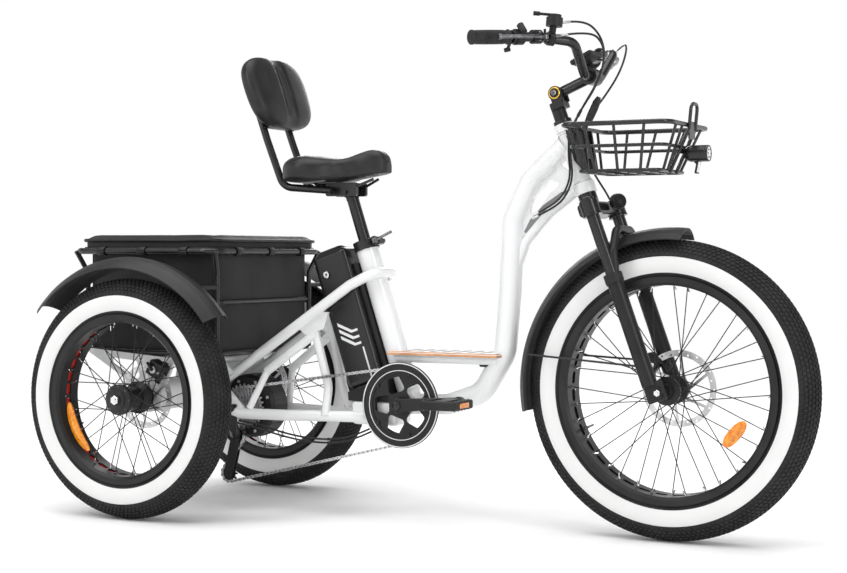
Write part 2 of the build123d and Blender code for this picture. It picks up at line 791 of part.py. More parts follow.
UPPER_JOCKEY = spot(131, 0, 185.5)
LOWER_JOCKEY = spot(107, 0, 87)
crank_chain_wheels = [
    (BB, pitch_radius(CHAINRING_TEETH), 1),
    (MOTOR, pitch_radius(CHAIN_COG), 1),
    (UPPER_JOCKEY, pitch_radius(JOCKEY_TEETH), -1),
    (LOWER_JOCKEY, pitch_radius(JOCKEY_TEETH), 1),
]
save(joined(*chain_plates(crank_chain_wheels, CHAIN_SIDE)), "chain")
axle_chain_wheels = [
    (MOTOR, pitch_radius(DRIVE_SPROCKET_TEETH), 1),
    (axle_centre, pitch_radius(AXLE_SPROCKET_TEETH), 1),
]
save(joined(*chain_plates(axle_chain_wheels, DRIVE_CHAIN_SIDE)), "axle_chain")

derailleur_pieces = [
    sprocket(UPPER_JOCKEY, CHAIN_SIDE, JOCKEY_TEETH, 3),
    sprocket(LOWER_JOCKEY, CHAIN_SIDE, JOCKEY_TEETH, 3),
]
for jockey in (UPPER_JOCKEY, LOWER_JOCKEY):
    derailleur_pieces.append(rod(across(jockey, CHAIN_SIDE - 9), across(jockey, CHAIN_SIDE + 7), 3.5))
cage = (LOWER_JOCKEY - UPPER_JOCKEY).normalized()
for cage_side in (CHAIN_SIDE - 6.5, CHAIN_SIDE + 6):
    with BuildPart() as cage_plate:
        cage_plane = Plane(origin=across(UPPER_JOCKEY, cage_side), x_dir=cage, z_dir=(0, -1, 0))
        with BuildSketch(cage_plane):
            with Locations(((LOWER_JOCKEY - UPPER_JOCKEY).length / 2, 0)):
                SlotCenterToCenter((LOWER_JOCKEY - UPPER_JOCKEY).length, 27)
        extrude(amount=1.2, both=True)
    derailleur_pieces.append(cage_plate.part)
knuckle = spot(150, -100, 214)
derailleur_pieces.append(rod(knuckle, spot(131, CHAIN_SIDE - 8, 190), 13))
derailleur_pieces.append(plate([(140, 272), (162, 272), (164, 212), (150, 200), (136, 212)], 6, -104.5))
derailleur_pieces.append(rod(knuckle, spot(150, -106, 214), 13))
derailleur_pieces.append(rod(across(MOTOR, -112), across(MOTOR, 108), MOTOR_AXLE_R))
for start, end in ((-114, -107), (102, 110), (-101.6, -84)):
    derailleur_pieces.append(rod(across(MOTOR, start), across(MOTOR, end), 10))
save(joined(*derailleur_pieces), "derailleur")


# ---------------------------------------------------------------- brakes
def make_caliper(axle, side_line, disc_radius, angle, width):
    """A disc brake caliper that straddles the disc's edge, with its adjuster and cable arm."""
    middle = around(across(axle, side_line), disc_radius - 6, angle, 0)
    outward = (cos(radians(angle)), 0, sin(radians(angle)))
    frame = Plane(origin=middle, x_dir=outward, z_dir=(0, 1, 0))
    body = block((4, 0, 0), (40, 46, width), 5, frame)
    slot = block((-8, 0, 0), (40, 60, DISC_THICKNESS + 1.2), 0, frame)
    return drilled(body, slot)


rear_calipers = []
for name, side in SIDES:
    caliper = make_caliper(REAR_AXLE[name], side * REAR_DISC_SIDE, REAR_DISC_R, 62, 34)
    foot = rod(
        around(across(axle_centre, side * 247), 36, 62, 0),
        around(across(axle_centre, side * 247), 96, 62, 0),
        8,
    )
    lug = rod(
        around(across(axle_centre, side * 247), 92, 62, 0),
        around(across(axle_centre, side * 262), 92, 62, 0),
        6.5,
    )
    clear_disc = disc_about(
        across(axle_centre, side * REAR_DISC_SIDE),
        REAR_DISC_R + 1.5,
        DISC_THICKNESS + 1.6,
    )
    rear_calipers.append(drilled(joined(caliper, foot, lug), clear_disc))
save(joined(*rear_calipers), "rear_calipers")


# ---------------------------------------------------------------- fork
CROWN_TOP = -28.0
LOWER_TOP = -210.0
LEG_FOOT = -478.0


def both_sides(make):
    """The same piece made on the left and on the right."""
    return [make(1), make(-1)]


steerer = rod(head(0, 0, CROWN_TOP - 20), head(0, 0, 184), STEERER_R)
crown_race = rod(head(0, 0, CROWN_TOP), head(0, 0, -1), 22)
crown_bridge = block((13, 0, CROWN_TOP - 17), (44, 150, 32), 9, HEAD)
sockets = both_sides(
    lambda side: rod(
        head(
            FORK_LEG_LEAD,
            side * FORK_HALF_WIDTH,
            CROWN_TOP - 2,
        ), head(FORK_LEG_LEAD, side * FORK_HALF_WIDTH, -66), 22
    )
)
stanchions = both_sides(
    lambda side: rod(
        head(FORK_LEG_LEAD, side * FORK_HALF_WIDTH, -50),
        head(FORK_LEG_LEAD, side * FORK_HALF_WIDTH, -300),
        STANCHION_D / 2,
    )
)
top_caps = both_sides(
    lambda side: rod(
        head(FORK_LEG_LEAD, side * FORK_HALF_WIDTH, CROWN_TOP - 3),
        head(FORK_LEG_LEAD, side * FORK_HALF_WIDTH, CROWN_TOP + 4),
        15,
    )
)
top_cap = rod(head(0, 0, HEAD_TUBE_LENGTH + 0.5), head(0, 0, HEAD_TUBE_LENGTH + 10), 22)
save(joined(steerer, crown_race, crown_bridge, *sockets, *stanchions, *top_caps, top_cap), "fork_crown")


def lower_leg(side):
    """One lower leg, from its collar down to the dropout, bored for the stanchion."""
    foot = head(FORK_LEG_LEAD, side * FORK_HALF_WIDTH, LEG_FOOT)
    top = head(FORK_LEG_LEAD, side * FORK_HALF_WIDTH, LOWER_TOP)
    collar = head(FORK_LEG_LEAD, side * FORK_HALF_WIDTH, LOWER_TOP - 22)
    bottom = head(FORK_LEG_LEAD, side * FORK_HALF_WIDTH, -345)
    dropout = block((34, side * FORK_HALF_WIDTH, -494), (46, 15, 46), 5, HEAD)
    leg = joined(rod(foot, top, LOWER_D / 2 - 1.5), rod(collar, top, LOWER_D / 2 + 1), dropout)
    return drilled(leg, rod(bottom, top + (top - bottom) * 0.1, STANCHION_D / 2 + RUNNING_GAP))


arch_route = [
    head(30, FORK_HALF_WIDTH, -226),
    head(46, FORK_HALF_WIDTH - 1, -160),
    head(57, 46, -111),
    head(57, -46, -111),
    head(46, 1 - FORK_HALF_WIDTH, -160),
    head(30, -FORK_HALF_WIDTH, -226),
]
stanchion_clear = both_sides(
    lambda side: rod(
        head(FORK_LEG_LEAD, side * FORK_HALF_WIDTH, -345),
        head(FORK_LEG_LEAD, side * FORK_HALF_WIDTH, -100),
        STANCHION_D / 2 + RUNNING_GAP,
    )
)
arch = drilled(bar(arch_route, 20, 24), *stanchion_clear)
front_axle = rod(across(FRONT_AXLE, -96), across(FRONT_AXLE, 96), FRONT_AXLE_R)
hub_spacers = [
    rod(across(FRONT_AXLE, -76), across(FRONT_AXLE, -50.4), 10),
    rod(across(FRONT_AXLE, 76), across(FRONT_AXLE, FRONT_DISC_SIDE + 4.4), 10),
]
axle_nuts = both_sides(lambda side: rod(across(FRONT_AXLE, side * 89), across(FRONT_AXLE, side * 95), 12))
save(joined(lower_leg(1), lower_leg(-1), arch, front_axle, *hub_spacers, *axle_nuts), "fork_lowers")

front_fender_shell = ring_about(FRONT_AXLE, fender_profile(FRONT_FENDER_R, 53, FENDER_THICKNESS), 84, 106)
fender_stays = both_sides(
    lambda side: rod(
        around(FRONT_AXLE, 347.5, 167.5, side * 53),
        head(FORK_LEG_LEAD - 14, side * 90, -425),
        2.5,
    )
)
fender_bolt = rod(head(55, 0, -128), head(55, 0, -112), 5)
save(joined(front_fender_shell, *fender_stays, fender_bolt), "front_fender")

front_caliper = make_caliper(FRONT_AXLE, FRONT_DISC_SIDE, FRONT_DISC_R, 142, 30)
caliper_mount = rod(
    around(
        FRONT_AXLE,
        FRONT_DISC_R + 8,
        142,
        FRONT_DISC_SIDE + 10,
    ), head(FORK_LEG_LEAD, FORK_HALF_WIDTH, -425), 7
)
clear_front_disc = disc_about(across(FRONT_AXLE, FRONT_DISC_SIDE), FRONT_DISC_R + 1.5, DISC_THICKNESS + 2)
save(drilled(joined(front_caliper, caliper_mount), clear_front_disc), "front_caliper")

# ---------------------------------------------------------------- stem and handlebar
STEM_PIVOT = head(12, 0, 249)
BAR_CLAMP = spot(1093, 0, 1075)
CLAMP_R = 12.7
BAR_D = 22.2
PIVOT_BOLT_R = 5.0

stem_post = rod(head(0, 0, HEAD_TUBE_LENGTH + 10), head(0, 0, 228), 17)
stem_bridge = block((6, 0, 221), (34, 44, 18), 3, HEAD)
stem_ears = both_sides(
    lambda side: joined(
        block((12, side * 18, 238), (30, 8, 24), 2, HEAD),
        rod(head(12, side * 14, 249), head(12, side * 22, 249), 17),
    )
)
pivot_bolt = rod(head(12, -26, 249), head(12, 26, 249), PIVOT_BOLT_R)
bolt_heads = both_sides(lambda side: rod(head(12, side * 22, 249), head(12, side * 27, 249), 11))
save(joined(stem_post, stem_bridge, *stem_ears, pivot_bolt, *bolt_heads), "stem_base")

stem_knuckle = rod(head(12, -13.6, 249), head(12, 13.6, 249), 15)
stem_beam = rod(STEM_PIVOT, BAR_CLAMP, 12.5)
bar_clamp = rod(across(BAR_CLAMP, -24), across(BAR_CLAMP, 24), 20)
clamp_bore = rod(across(BAR_CLAMP, -30), across(BAR_CLAMP, 30), CLAMP_R)
knuckle_bore = rod(head(12, -20, 249), head(12, 20, 249), PIVOT_BOLT_R + RUNNING_GAP)
save(drilled(joined(stem_knuckle, stem_beam, bar_clamp), clamp_bore, knuckle_bore), "stem_arm")

BAR_BEND = (1099, 125, 1142)
GRIP_START = (1035, 190, 1150)
GRIP_END = (946, 342, 1136.5)
GRIP_LENGTH = 100.0


def beside_bar(start, end):
    """Points near a straight run of the bar: along it outwards, ahead of it, and above it."""
    run = (Vector(*end) - Vector(*start)).normalized()
    forward = Vector(run.Y, -run.X, 0).normalized()
    above = forward.cross(run)

    def place(side, along, ahead, up):
        point = Vector(*start) + run * along + forward * ahead + above * up
        return spot(point.X, side * point.Y, point.Z)

    return place


grip = beside_bar(GRIP_START, GRIP_END)
neck = beside_bar(BAR_BEND, GRIP_START)


def bar_spot(point, side):
    """A bend of the handlebar on one side."""
    return spot(point[0], side * point[1], point[2])


bar_route = [
    bar_spot(GRIP_END, -1),
    bar_spot(GRIP_START, -1),
    bar_spot(BAR_BEND, -1),
    across(BAR_CLAMP, -48),
]
bar_route += [across(BAR_CLAMP, 48), bar_spot(BAR_BEND, 1), bar_spot(GRIP_START, 1), bar_spot(GRIP_END, 1)]
bar_sleeve = rod(across(BAR_CLAMP, -34), across(BAR_CLAMP, 34), CLAMP_R)
save(joined(bar(bar_route, BAR_D, 34), bar_sleeve), "handlebar")

BAR_LENGTH = (Vector(*GRIP_END) - Vector(*GRIP_START)).length
GRIP_FROM = BAR_LENGTH - GRIP_LENGTH + 4
grips = []
for name, side in SIDES:
    sleeve = rod(grip(side, GRIP_FROM, 0, 0), grip(side, BAR_LENGTH + 4, 0, 0), 15.5)
    collar = rod(grip(side, GRIP_FROM, 0, 0), grip(side, GRIP_FROM + 8, 0, 0), 18)
    core = rod(grip(side, GRIP_FROM - 5, 0, 0), grip(side, BAR_LENGTH, 0, 0), BAR_D / 2)
    grips.append(drilled(joined(sleeve, collar), core))
save(joined(*grips), "grips")

perches = []
for name, side in SIDES:
    clamp = rod(grip(side, -8, 0, 0), grip(side, 14, 0, 0), 16)
    body = rod(grip(side, 3, 12, -2), grip(side, 3, 40, -4), 9)
    barrel = rod(grip(side, -26, 34, -2), grip(side, 0, 30, -2), 5)
    core = rod(grip(side, -20, 0, 0), grip(side, 30, 0, 0), BAR_D / 2)
    pivot = rod(grip(side, 2, 34, -20), grip(side, 2, 34, 14), 3)
    gap = rod(grip(side, 2, 34, -9), grip(side, 2, 34, 1), 15)
    yokes = rod(grip(side, 2, 34, -13), grip(side, 2, 34, 5), 9)
    perches.append(joined(drilled(joined(clamp, body, barrel, yokes), core, gap), pivot))
    lever_eye = rod(grip(side, 2, 34, -8.5), grip(side, 2, 34, 0.5), 8)
    lever_hole = rod(grip(side, 2, 34, -14), grip(side, 2, 34, 6), 3 + RUNNING_GAP)
    route = [
        grip(side, 2, 34, -4),
        grip(side, 30, 52, -4),
        grip(side, 80, 56, -4),
        grip(side, 138, 50, -4),
    ]
    lever = joined(
        lever_eye,
        bar(route, 8.4, 40),
        rod(grip(side, 133, 50.5, -4), grip(side, 141, 49.6, -4), 6),
    )
    save(drilled(lever, lever_hole), f"brake_lever_{name}")
save(joined(*perches), "brake_perches")

throttle_ring = rod(grip(-1, 42, 0, 0), grip(-1, 62, 0, 0), 18)
throttle_core = rod(grip(-1, 30, 0, 0), grip(-1, 80, 0, 0), BAR_D / 2)
throttle_window = rod(grip(-1, 51, 22, 9), grip(-1, 51, 8, 26), 8)
save(drilled(joined(throttle_ring, throttle_window), throttle_core), "throttle")
lever_ring = rod(grip(-1, 62.4, 0, 0), grip(-1, 71, 0, 0), 15.5)
lever_lug = rod(grip(-1, 67, -10, -10), grip(-1, 67, -24, -26), 3.6)
lever_tip = rod(grip(-1, 61, -23, -25), grip(-1, 73, -25, -27), 5)
lever_bore = rod(grip(-1, 55, 0, 0), grip(-1, 80, 0, 0), BAR_D / 2 + RUNNING_GAP)
save(drilled(joined(lever_ring, lever_lug, lever_tip), lever_bore), "throttle_lever")

SHIFTER_ALONG = 58.0
shifter_clamp = rod(neck(-1, SHIFTER_ALONG - 7, 0, 0), neck(-1, SHIFTER_ALONG + 7, 0, 0), 16)
shifter_neck = rod(neck(-1, SHIFTER_ALONG, 6, 12), neck(-1, SHIFTER_ALONG, 10, 30), 8)
shifter_body = rod(neck(-1, SHIFTER_ALONG, 14, 26), neck(-1, SHIFTER_ALONG, 14, 46), 19)
shifter_core = rod(neck(-1, SHIFTER_ALONG - 20, 0, 0), neck(-1, SHIFTER_ALONG + 20, 0, 0), BAR_D / 2)
save(drilled(joined(shifter_clamp, shifter_neck, shifter_body), shifter_core), "shifter")
shift_disc = rod(neck(-1, SHIFTER_ALONG, 14, 46.5), neck(-1, SHIFTER_ALONG, 14, 53), 15)
shift_blade = rod(neck(-1, SHIFTER_ALONG, 14, 52), neck(-1, SHIFTER_ALONG + 39, -4, 53), 3.2)
shift_tip = rod(neck(-1, SHIFTER_ALONG + 31, -1, 53), neck(-1, SHIFTER_ALONG + 45, -6, 53), 5)
save(joined(shift_disc, shift_blade, shift_tip), "shift_lever")

DISPLAY_PLANE = Plane(origin=spot(1078, 0, 1118), x_dir=(0.9, 0, 0.436), z_dir=(-0.436, 0, 0.9))
display = joined(
    block((0, 0, 0), (58, 74, 12), 4, DISPLAY_PLANE),
    block((-8, 31, -12), (14, 10, 24), 2, DISPLAY_PLANE),
    block((-8, -31, -12), (14, 10, 24), 2, DISPLAY_PLANE),
)
feet = both_sides(lambda side: rod(spot(1093, side * 31, 1075), spot(1076, side * 31, 1106), 6))
display_core = rod(across(BAR_CLAMP, -40), across(BAR_CLAMP, 40), CLAMP_R)
save(drilled(joined(display, *feet), display_core), "display")

# ---------------------------------------------------------------- front basket and lamp
BASKET_TOP = 954.0
BASKET_FLOOR = 850.0
rings = [
    (1071, 1331, 142, BASKET_TOP, 11, 30),
    (1083, 1312, 118, 905, 8, 24),
    (1096, 1290, 92, BASKET_FLOOR, 8, 20),
]
basket_pieces = [rail_loop(*ring) for ring in rings]

for share in (0.22, 0.5, 0.78):
    for side in (1, -1):
        upper = spot(1071 + 260 * share, side * 142, BASKET_TOP)
        lower = spot(1096 + 194 * share, side * 92, BASKET_FLOOR)
        basket_pieces.append(rod(upper, lower, 3.4))
    floor_from = spot(1096 + 194 * share, -92, BASKET_FLOOR)
    basket_pieces.append(rod(floor_from, spot(1096 + 194 * share, 92, BASKET_FLOOR), 3.4))
for side in (-90, -46, 46, 90):
    for upper_x, lower_x in ((1071, 1096), (1331, 1290)):
        basket_pieces.append(
            rod(spot(upper_x, side, BASKET_TOP), spot(lower_x, side * 0.66, BASKET_FLOOR), 3.4),
        )
for side in (-46, 46):
    basket_pieces.append(
        rod(spot(1096, side * 0.66, BASKET_FLOOR), spot(1290, side * 0.66, BASKET_FLOOR), 3.4),
    )
handle_route = [
    spot(1293, 22, 846),
    spot(1338, 22, 945),
    spot(1343, 22, 1002),
    spot(1343, -22, 1002),
    spot(1338, -22, 945),
    spot(1293, -22, 846),
]
basket_pieces.append(bar(handle_route, 8, 14))
basket_pieces.append(block(spot(1337, 0, 942), (4, 40, 40), 1.5))
bracket = [(1036, 950), (1084, 950), (1096, 856), (1080, 854), (1058, 880), (1044, 926)]
basket_pieces += both_sides(lambda side: plate(bracket, 5, side * 22.5))
basket_pieces.append(block(spot(1073, 0, 946), (8, 50, 18), 2))
basket_pieces.append(block(spot(1084, 0, 896), (6, 50, 26), 2))
basket_pieces.append(block(spot(1050, 0, 926), (30, 41, 26), 2))
head_clear = [
    rod(head(0, 0, 26), head(0, 0, HEAD_TUBE_LENGTH), 21),
    rod(head(0, 0, HEAD_TUBE_LENGTH - 18), head(0, 0, 200), 24),
]
save(drilled(joined(*basket_pieces), *head_clear), "front_basket")

lamp_profile = [(0, 0), (12, 0), (17, 8), (19, 14), (19, 50), (17, 53), (17, 56), (0, 57)]
with BuildPart() as lamp:
    lamp_plane = Plane(origin=spot(1322, 0, 889), x_dir=(0, 0, 1), z_dir=(0, 1, 0))
    with BuildSketch(lamp_plane):
        with BuildLine():
            Polyline(*lamp_profile, close=True)
        make_face()
    revolve(axis=Axis(spot(1322, 0, 889), (1, 0, 0)))
lamp_bracket = rod(spot(1316, 0, 898), spot(1330, 0, 889), 6)
save(joined(lamp.part, lamp_bracket, block(spot(1316, 0, 896), (6, 44, 14), 1)), "headlight")


# ---------------------------------------------------------------- seat post, saddle and backrest
POST_TOP = 556.0
seat_post = joined(
    rod(seat(0, 0, 150), seat(0, 0, POST_TOP - 14), SEAT_POST_D / 2),
    rod(seat(0, -17, POST_TOP), seat(0, 17, POST_TOP), 15),
    block((0, 0, POST_TOP - 12), (26, 26, 20), 4, SEAT),
)
PIVOT_R = 5.0
save(joined(seat_post, rod(seat(0, -34, POST_TOP), seat(0, 34, POST_TOP), PIVOT_R)), "seat_post")

clamp_band = rod(seat(0, 0, 402), seat(0, 0, 426), SEAT_TUBE_D / 2 + 4, SEAT_TUBE_D / 2)
clamp_lug = block((37, 0, 414), (18, 26, 20), 3, SEAT)
clamp_bolt = rod(seat(39, -15.4, 414), seat(39, 20, 414), 3)
clamp_nut = rod(seat(39, 13, 414), seat(39, 20, 414), 7)
clamp_pin = rod(seat(39, -24, 405), seat(39, -24, 423), 3)
clamp_eye = rod(seat(39, -24, 421), seat(39, -24, 425), 6)
lug_bridge = rod(seat(39, -13, 423), seat(39, -26, 423), 3)
save(joined(clamp_band, clamp_lug, clamp_bolt, clamp_nut, clamp_pin, clamp_eye, lug_bridge), "seat_clamp")
cam = drilled(
    rod(seat(39, -24, 408), seat(39, -24, 420), 8),
    rod(seat(39, -24, 400), seat(39, -24, 426), 3 + RUNNING_GAP),
)
lever_blade = bar([seat(45, -27, 414), seat(66, -29, 416), seat(92, -24, 420)], 7, 20)
save(joined(cam, lever_blade), "seat_lever")

SADDLE_LOW = 846.0
SADDLE_TOP = 919.0
with BuildPart() as saddle:
    with BuildSketch(Plane(origin=(REAR_X, 0, SADDLE_LOW))):
        with BuildLine():
            Spline(
                (286, 0),
                (300, 84),
                (352, 121),
                (404, 100),
                (448, 53),
                (512, 35),
                (546, 0),
                tangents=((0, 1), (0, -1)),
            )
            mirror(about=Plane.XZ)
        make_face()
    extrude(amount=SADDLE_TOP - SADDLE_LOW)
save(saddle.part, "saddle")

BACK_CENTRE = spot(222, 0, 1068)
BACK_TILT = 20.0
BACK_PLANE = Plane(
    origin=BACK_CENTRE,
    x_dir=(0, 1, 0),
    z_dir=(cos(radians(BACK_TILT)), 0, sin(radians(BACK_TILT))),
)
with BuildPart() as backrest_pad:
    with BuildSketch(BACK_PLANE):
        RectangleRounded(240, 190, 62)
    extrude(amount=27, both=True)
    fillet(backrest_pad.edges(), 14)
save(backrest_pad.part, "backrest_pad")

saddle_frame_pieces = []
for side in (1, -1):
    rail = [
        spot(324, side * 20, 850),
        spot(352, side * 22, 834),
        spot(474, side * 22, 830),
        spot(512, side * 12, 846),
    ]
    saddle_frame_pieces.append(bar(rail, 7, 14))
    tube_route = [
        BACK_PLANE.from_local_coords(Vector(side * 60, -22, -36)),
        BACK_PLANE.from_local_coords(Vector(side * 60, -112, -36)),
        spot(276, side * 60, 828),
        spot(410, side * 46, 818),
    ]
    saddle_frame_pieces.append(bar(tube_route, 19, 40))
    cheek_outline = [(382, 804), (382, 838), (472, 838), (472, 804)]
    saddle_frame_pieces.append(plate(cheek_outline, 9, side * 24, 6))
saddle_frame_pieces.append(rod(spot(398, -48, 820), spot(398, 48, 820), 7))
mount_plate = block((0, -50, -30.5), (150, 66, 7), 2, BACK_PLANE)
saddle_frame = drilled(
    joined(*saddle_frame_pieces, mount_plate),
    rod(seat(0, -40, POST_TOP), seat(0, 40, POST_TOP), PIVOT_R + RUNNING_GAP),
)
save(saddle_frame, "saddle_frame")


# ---------------------------------------------------------------- cables
def bend_radii(points):
    """Each corner's radius: as large as the shorter of its two runs allows."""
    radii = []
    for before, corner, after in zip(points, points[1:], points[2:]):
        first = corner - before
        second = after - corner
        turn = radians(first.get_angle(second))
        radii.append(0.45 * min(first.length, second.length) * cos(turn / 2) / sin(turn / 2))
    return radii


def cable(points, diameter):
    """A cable along its route, with a tangent arc at each corner."""
    radii = bend_radii(points)
    print("cable radii", [round(radius) for radius in radii])
    with BuildPart() as made:
        with BuildLine() as route:
            FilletPolyline(*points, radius=radii)
        with BuildSketch(Plane(origin=route.line @ 0, z_dir=route.line % 0)):
            Circle(diameter / 2)
        sweep()
    return made.part


CABLE_D = 5.0
shift_cable = [
    neck(-1, SHIFTER_ALONG - 20, 12, 38),
    spot(1118, -112, 1194),
    spot(1146, -78, 1160),
    spot(1146, -50, 1112),
    spot(1120, -36, 1056),
    spot(1082, -36, 1000),
    spot(1054, -36, 946),
    spot(1054, -38, 892),
    spot(1062, -38, 838),
    spot(1040, -34, 790),
    spot(1000, -26, 764),
    spot(952, -24, 744),
]
rear_brake_cable = [
    grip(-1, -28, 34, -2),
    spot(1132, -114, 1168),
    spot(1150, -72, 1142),
    spot(1138, -40, 1096),
    spot(1112, -28, 1046),
    spot(1076, -27, 996),
    spot(1048, -29, 948),
    spot(1046, -31, 894),
    spot(1054, -33, 842),
    spot(1034, -31, 796),
    spot(998, -29, 770),
    spot(956, -28, 752),
]
front_brake_cable = [
    grip(1, -28, 34, -2),
    spot(1132, 114, 1168),
    spot(1152, 72, 1140),
    spot(1144, 46, 1086),
    spot(1112, 38, 1034),
    spot(1072, 36, 986),
    spot(1054, 38, 934),
    spot(1062, 44, 882),
    spot(1078, 76, 838),
    spot(1094, 112, 796),
    spot(1120, 120, 734),
    spot(1152, 118, 652),
    spot(1184, 115, 568),
    spot(1210, 111, 500),
    spot(1226, 106, 446),
]
control_cables = [cable(route, CABLE_D) for route in (shift_cable, rear_brake_cable, front_brake_cable)]
save(joined(*control_cables), "control_cables")
chainstay_cables = []
for shift in (0, 9):
    route = [
        spot(520, -18, 226 - shift),
        spot(478, -30, 204 - shift),
        spot(424, -48, 190 - shift),
        spot(352, -66, 192 - shift),
        spot(284, -86, 206 - shift),
        spot(226, -101 - shift, 226 - shift),
        spot(176, -112 - shift, 232 - shift / 2),
    ]
    chainstay_cables.append(cable(route, CABLE_D))
save(joined(*chainstay_cables), "chainstay_cables")
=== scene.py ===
"""Visual model of the electric fat-tyre tricycle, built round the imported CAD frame.

Lengths in the helpers are millimetres, as in the CAD source, and objects are in metres. +X is the
way it rides, +Y the rider's left, +Z up.
"""
import json
import math

import bmesh
import bpy
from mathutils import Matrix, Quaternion, Vector, noise


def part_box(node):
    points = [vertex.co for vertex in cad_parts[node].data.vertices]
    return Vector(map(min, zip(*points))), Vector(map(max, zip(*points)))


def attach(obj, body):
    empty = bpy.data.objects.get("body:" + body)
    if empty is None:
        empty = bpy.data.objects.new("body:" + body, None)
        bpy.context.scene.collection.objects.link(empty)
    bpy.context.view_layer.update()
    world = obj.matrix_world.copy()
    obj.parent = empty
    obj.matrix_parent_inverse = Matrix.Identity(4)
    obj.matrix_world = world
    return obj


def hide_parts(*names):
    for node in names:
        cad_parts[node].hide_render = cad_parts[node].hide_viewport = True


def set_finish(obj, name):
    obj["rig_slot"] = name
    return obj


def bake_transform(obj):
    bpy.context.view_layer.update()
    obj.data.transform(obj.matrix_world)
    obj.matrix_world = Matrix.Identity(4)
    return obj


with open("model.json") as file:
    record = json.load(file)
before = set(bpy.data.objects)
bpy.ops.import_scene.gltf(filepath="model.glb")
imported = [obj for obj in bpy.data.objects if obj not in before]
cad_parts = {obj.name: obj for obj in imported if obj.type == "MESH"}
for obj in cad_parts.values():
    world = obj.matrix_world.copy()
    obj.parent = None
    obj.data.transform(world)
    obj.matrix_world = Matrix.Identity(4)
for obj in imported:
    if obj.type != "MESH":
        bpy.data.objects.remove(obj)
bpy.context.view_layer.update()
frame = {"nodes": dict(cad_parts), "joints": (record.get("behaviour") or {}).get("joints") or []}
JOINTS = {joint["name"]: joint for joint in frame["joints"]}
MM = 0.001


def joint_spot(name):
    """Where a joint of the record stands."""
    return Vector(JOINTS[name]["pos_m"])


FRONT_AXLE = joint_spot("front_wheel_roll")
REAR_AXLE = {"left": joint_spot("rear_wheel_left_roll"), "right": joint_spot("rear_wheel_right_roll")}
SIDES = (("left", 1), ("right", -1))
REAR_X = REAR_AXLE["left"].x / MM
# radii and distances from the middle, in millimetres
FRONT_RIM_R, FRONT_TYRE_R, FRONT_WHITE_R = 262, 347, 308
REAR_RIM_R, REAR_TYRE_R, REAR_WHITE_R = 210, 298, 257
FRONT_NUT_SIDE, REAR_NUT_SIDE = 95, 391.5
BB = joint_spot("crank_turn")
MOTOR = joint_spot("motor_turn")


def spot(ahead, side, up):
    """A point from its distance ahead of the rear axle, to the left, and above the ground."""
    return Vector((REAR_X + ahead, side, up)) * MM


# ---------------- materials
COAT_ROUGHNESS = 0.08


def grey(level, blue=0.001):
    """A near-neutral colour, a touch bluer or warmer than plain grey."""
    return (level, level, round(level + blue, 4))


def shader_of(made):
    """A material's Principled shader."""
    return made.node_tree.nodes["Principled BSDF"]


def material(name, colour, roughness, metallic=0.0, coat=0.0, specular=0.5):
    """A material with the values that are the same all over."""
    made = bpy.data.materials.new(name)
    made.use_nodes = True
    made.diffuse_color = (*colour, 1)
    values = {
        "Base Color": (*colour, 1),
        "Roughness": roughness,
        "Metallic": metallic,
        "Coat Weight": coat,
        "Coat Roughness": COAT_ROUGHNESS,
        "Specular IOR Level": specular,
    }
    for socket, value in values.items():
        shader_of(made).inputs[socket].default_value = value
    return made


def node(made, kind, **values):
    """A new node in a material, with its settings and socket values."""
    new = made.node_tree.nodes.new(kind)
    for key, value in values.items():
        if hasattr(new, key):
            setattr(new, key, value)
        else:
            new.inputs[key.replace("_", " ")].default_value = value
    return new


def position(made, stretch=(1, 1, 1)):
    """Object coordinates, stretched, in metres."""
    link = made.node_tree.links.new
    coords = made.node_tree.nodes.new("ShaderNodeTexCoord")
    mapping = made.node_tree.nodes.new("ShaderNodeMapping")
    mapping.inputs["Scale"].default_value = stretch
    link(coords.outputs["Object"], mapping.inputs["Vector"])
    return mapping.outputs["Vector"]


TINT_SPAN = (0.35, 0.65)


def tint(made, low, high, scale, stretch=(1, 1, 1)):
    """Base colour that wanders between two colours over the surface."""
    link = made.node_tree.links.new
    cloud = node(made, "ShaderNodeTexNoise", Scale=scale, Detail=4.0)
    link(position(made, stretch), cloud.inputs["Vector"])
    ramp = made.node_tree.nodes.new("ShaderNodeValToRGB")
    for end, place, colour in zip(ramp.color_ramp.elements, TINT_SPAN, (low, high)):
        end.position = place
        end.color = (*colour, 1)
    link(cloud.outputs["Fac"], ramp.inputs["Fac"])
    link(ramp.outputs["Color"], shader_of(made).inputs["Base Color"])


def gloss(made, low, high, scale, stretch=(1, 1, 1)):
    """Roughness that wanders between two values, as handled or brushed surfaces have."""
    link = made.node_tree.links.new
    cloud = node(made, "ShaderNodeTexNoise", Scale=scale, Detail=5.0)
    link(position(made, stretch), cloud.inputs["Vector"])
    span = node(made, "ShaderNodeMapRange")
    span.inputs["To Min"].default_value = low
    span.inputs["To Max"].default_value = high
    link(cloud.outputs["Fac"], span.inputs["Value"])
    link(span.outputs["Result"], shader_of(made).inputs["Roughness"])


def relief(made, kind, scale, strength, depth, stretch=(1, 1, 1), output="Fac", **settings):
    """A bump from a noise, Voronoi or wave texture; a second call adds to the first."""
    link = made.node_tree.links.new
    texture = node(made, kind, Scale=scale, **settings)
    link(position(made, stretch), texture.inputs["Vector"])
    bump = node(made, "ShaderNodeBump", Strength=strength, Distance=depth)
    link(texture.outputs[output], bump.inputs["Height"])
    socket = shader_of(made).inputs["Normal"]
    if socket.links:
        link(socket.links[0].from_socket, bump.inputs["Normal"])
    link(bump.outputs["Normal"], socket)


NOISE, CELLS, WAVE = "ShaderNodeTexNoise", "ShaderNodeTexVoronoi", "ShaderNodeTexWave"

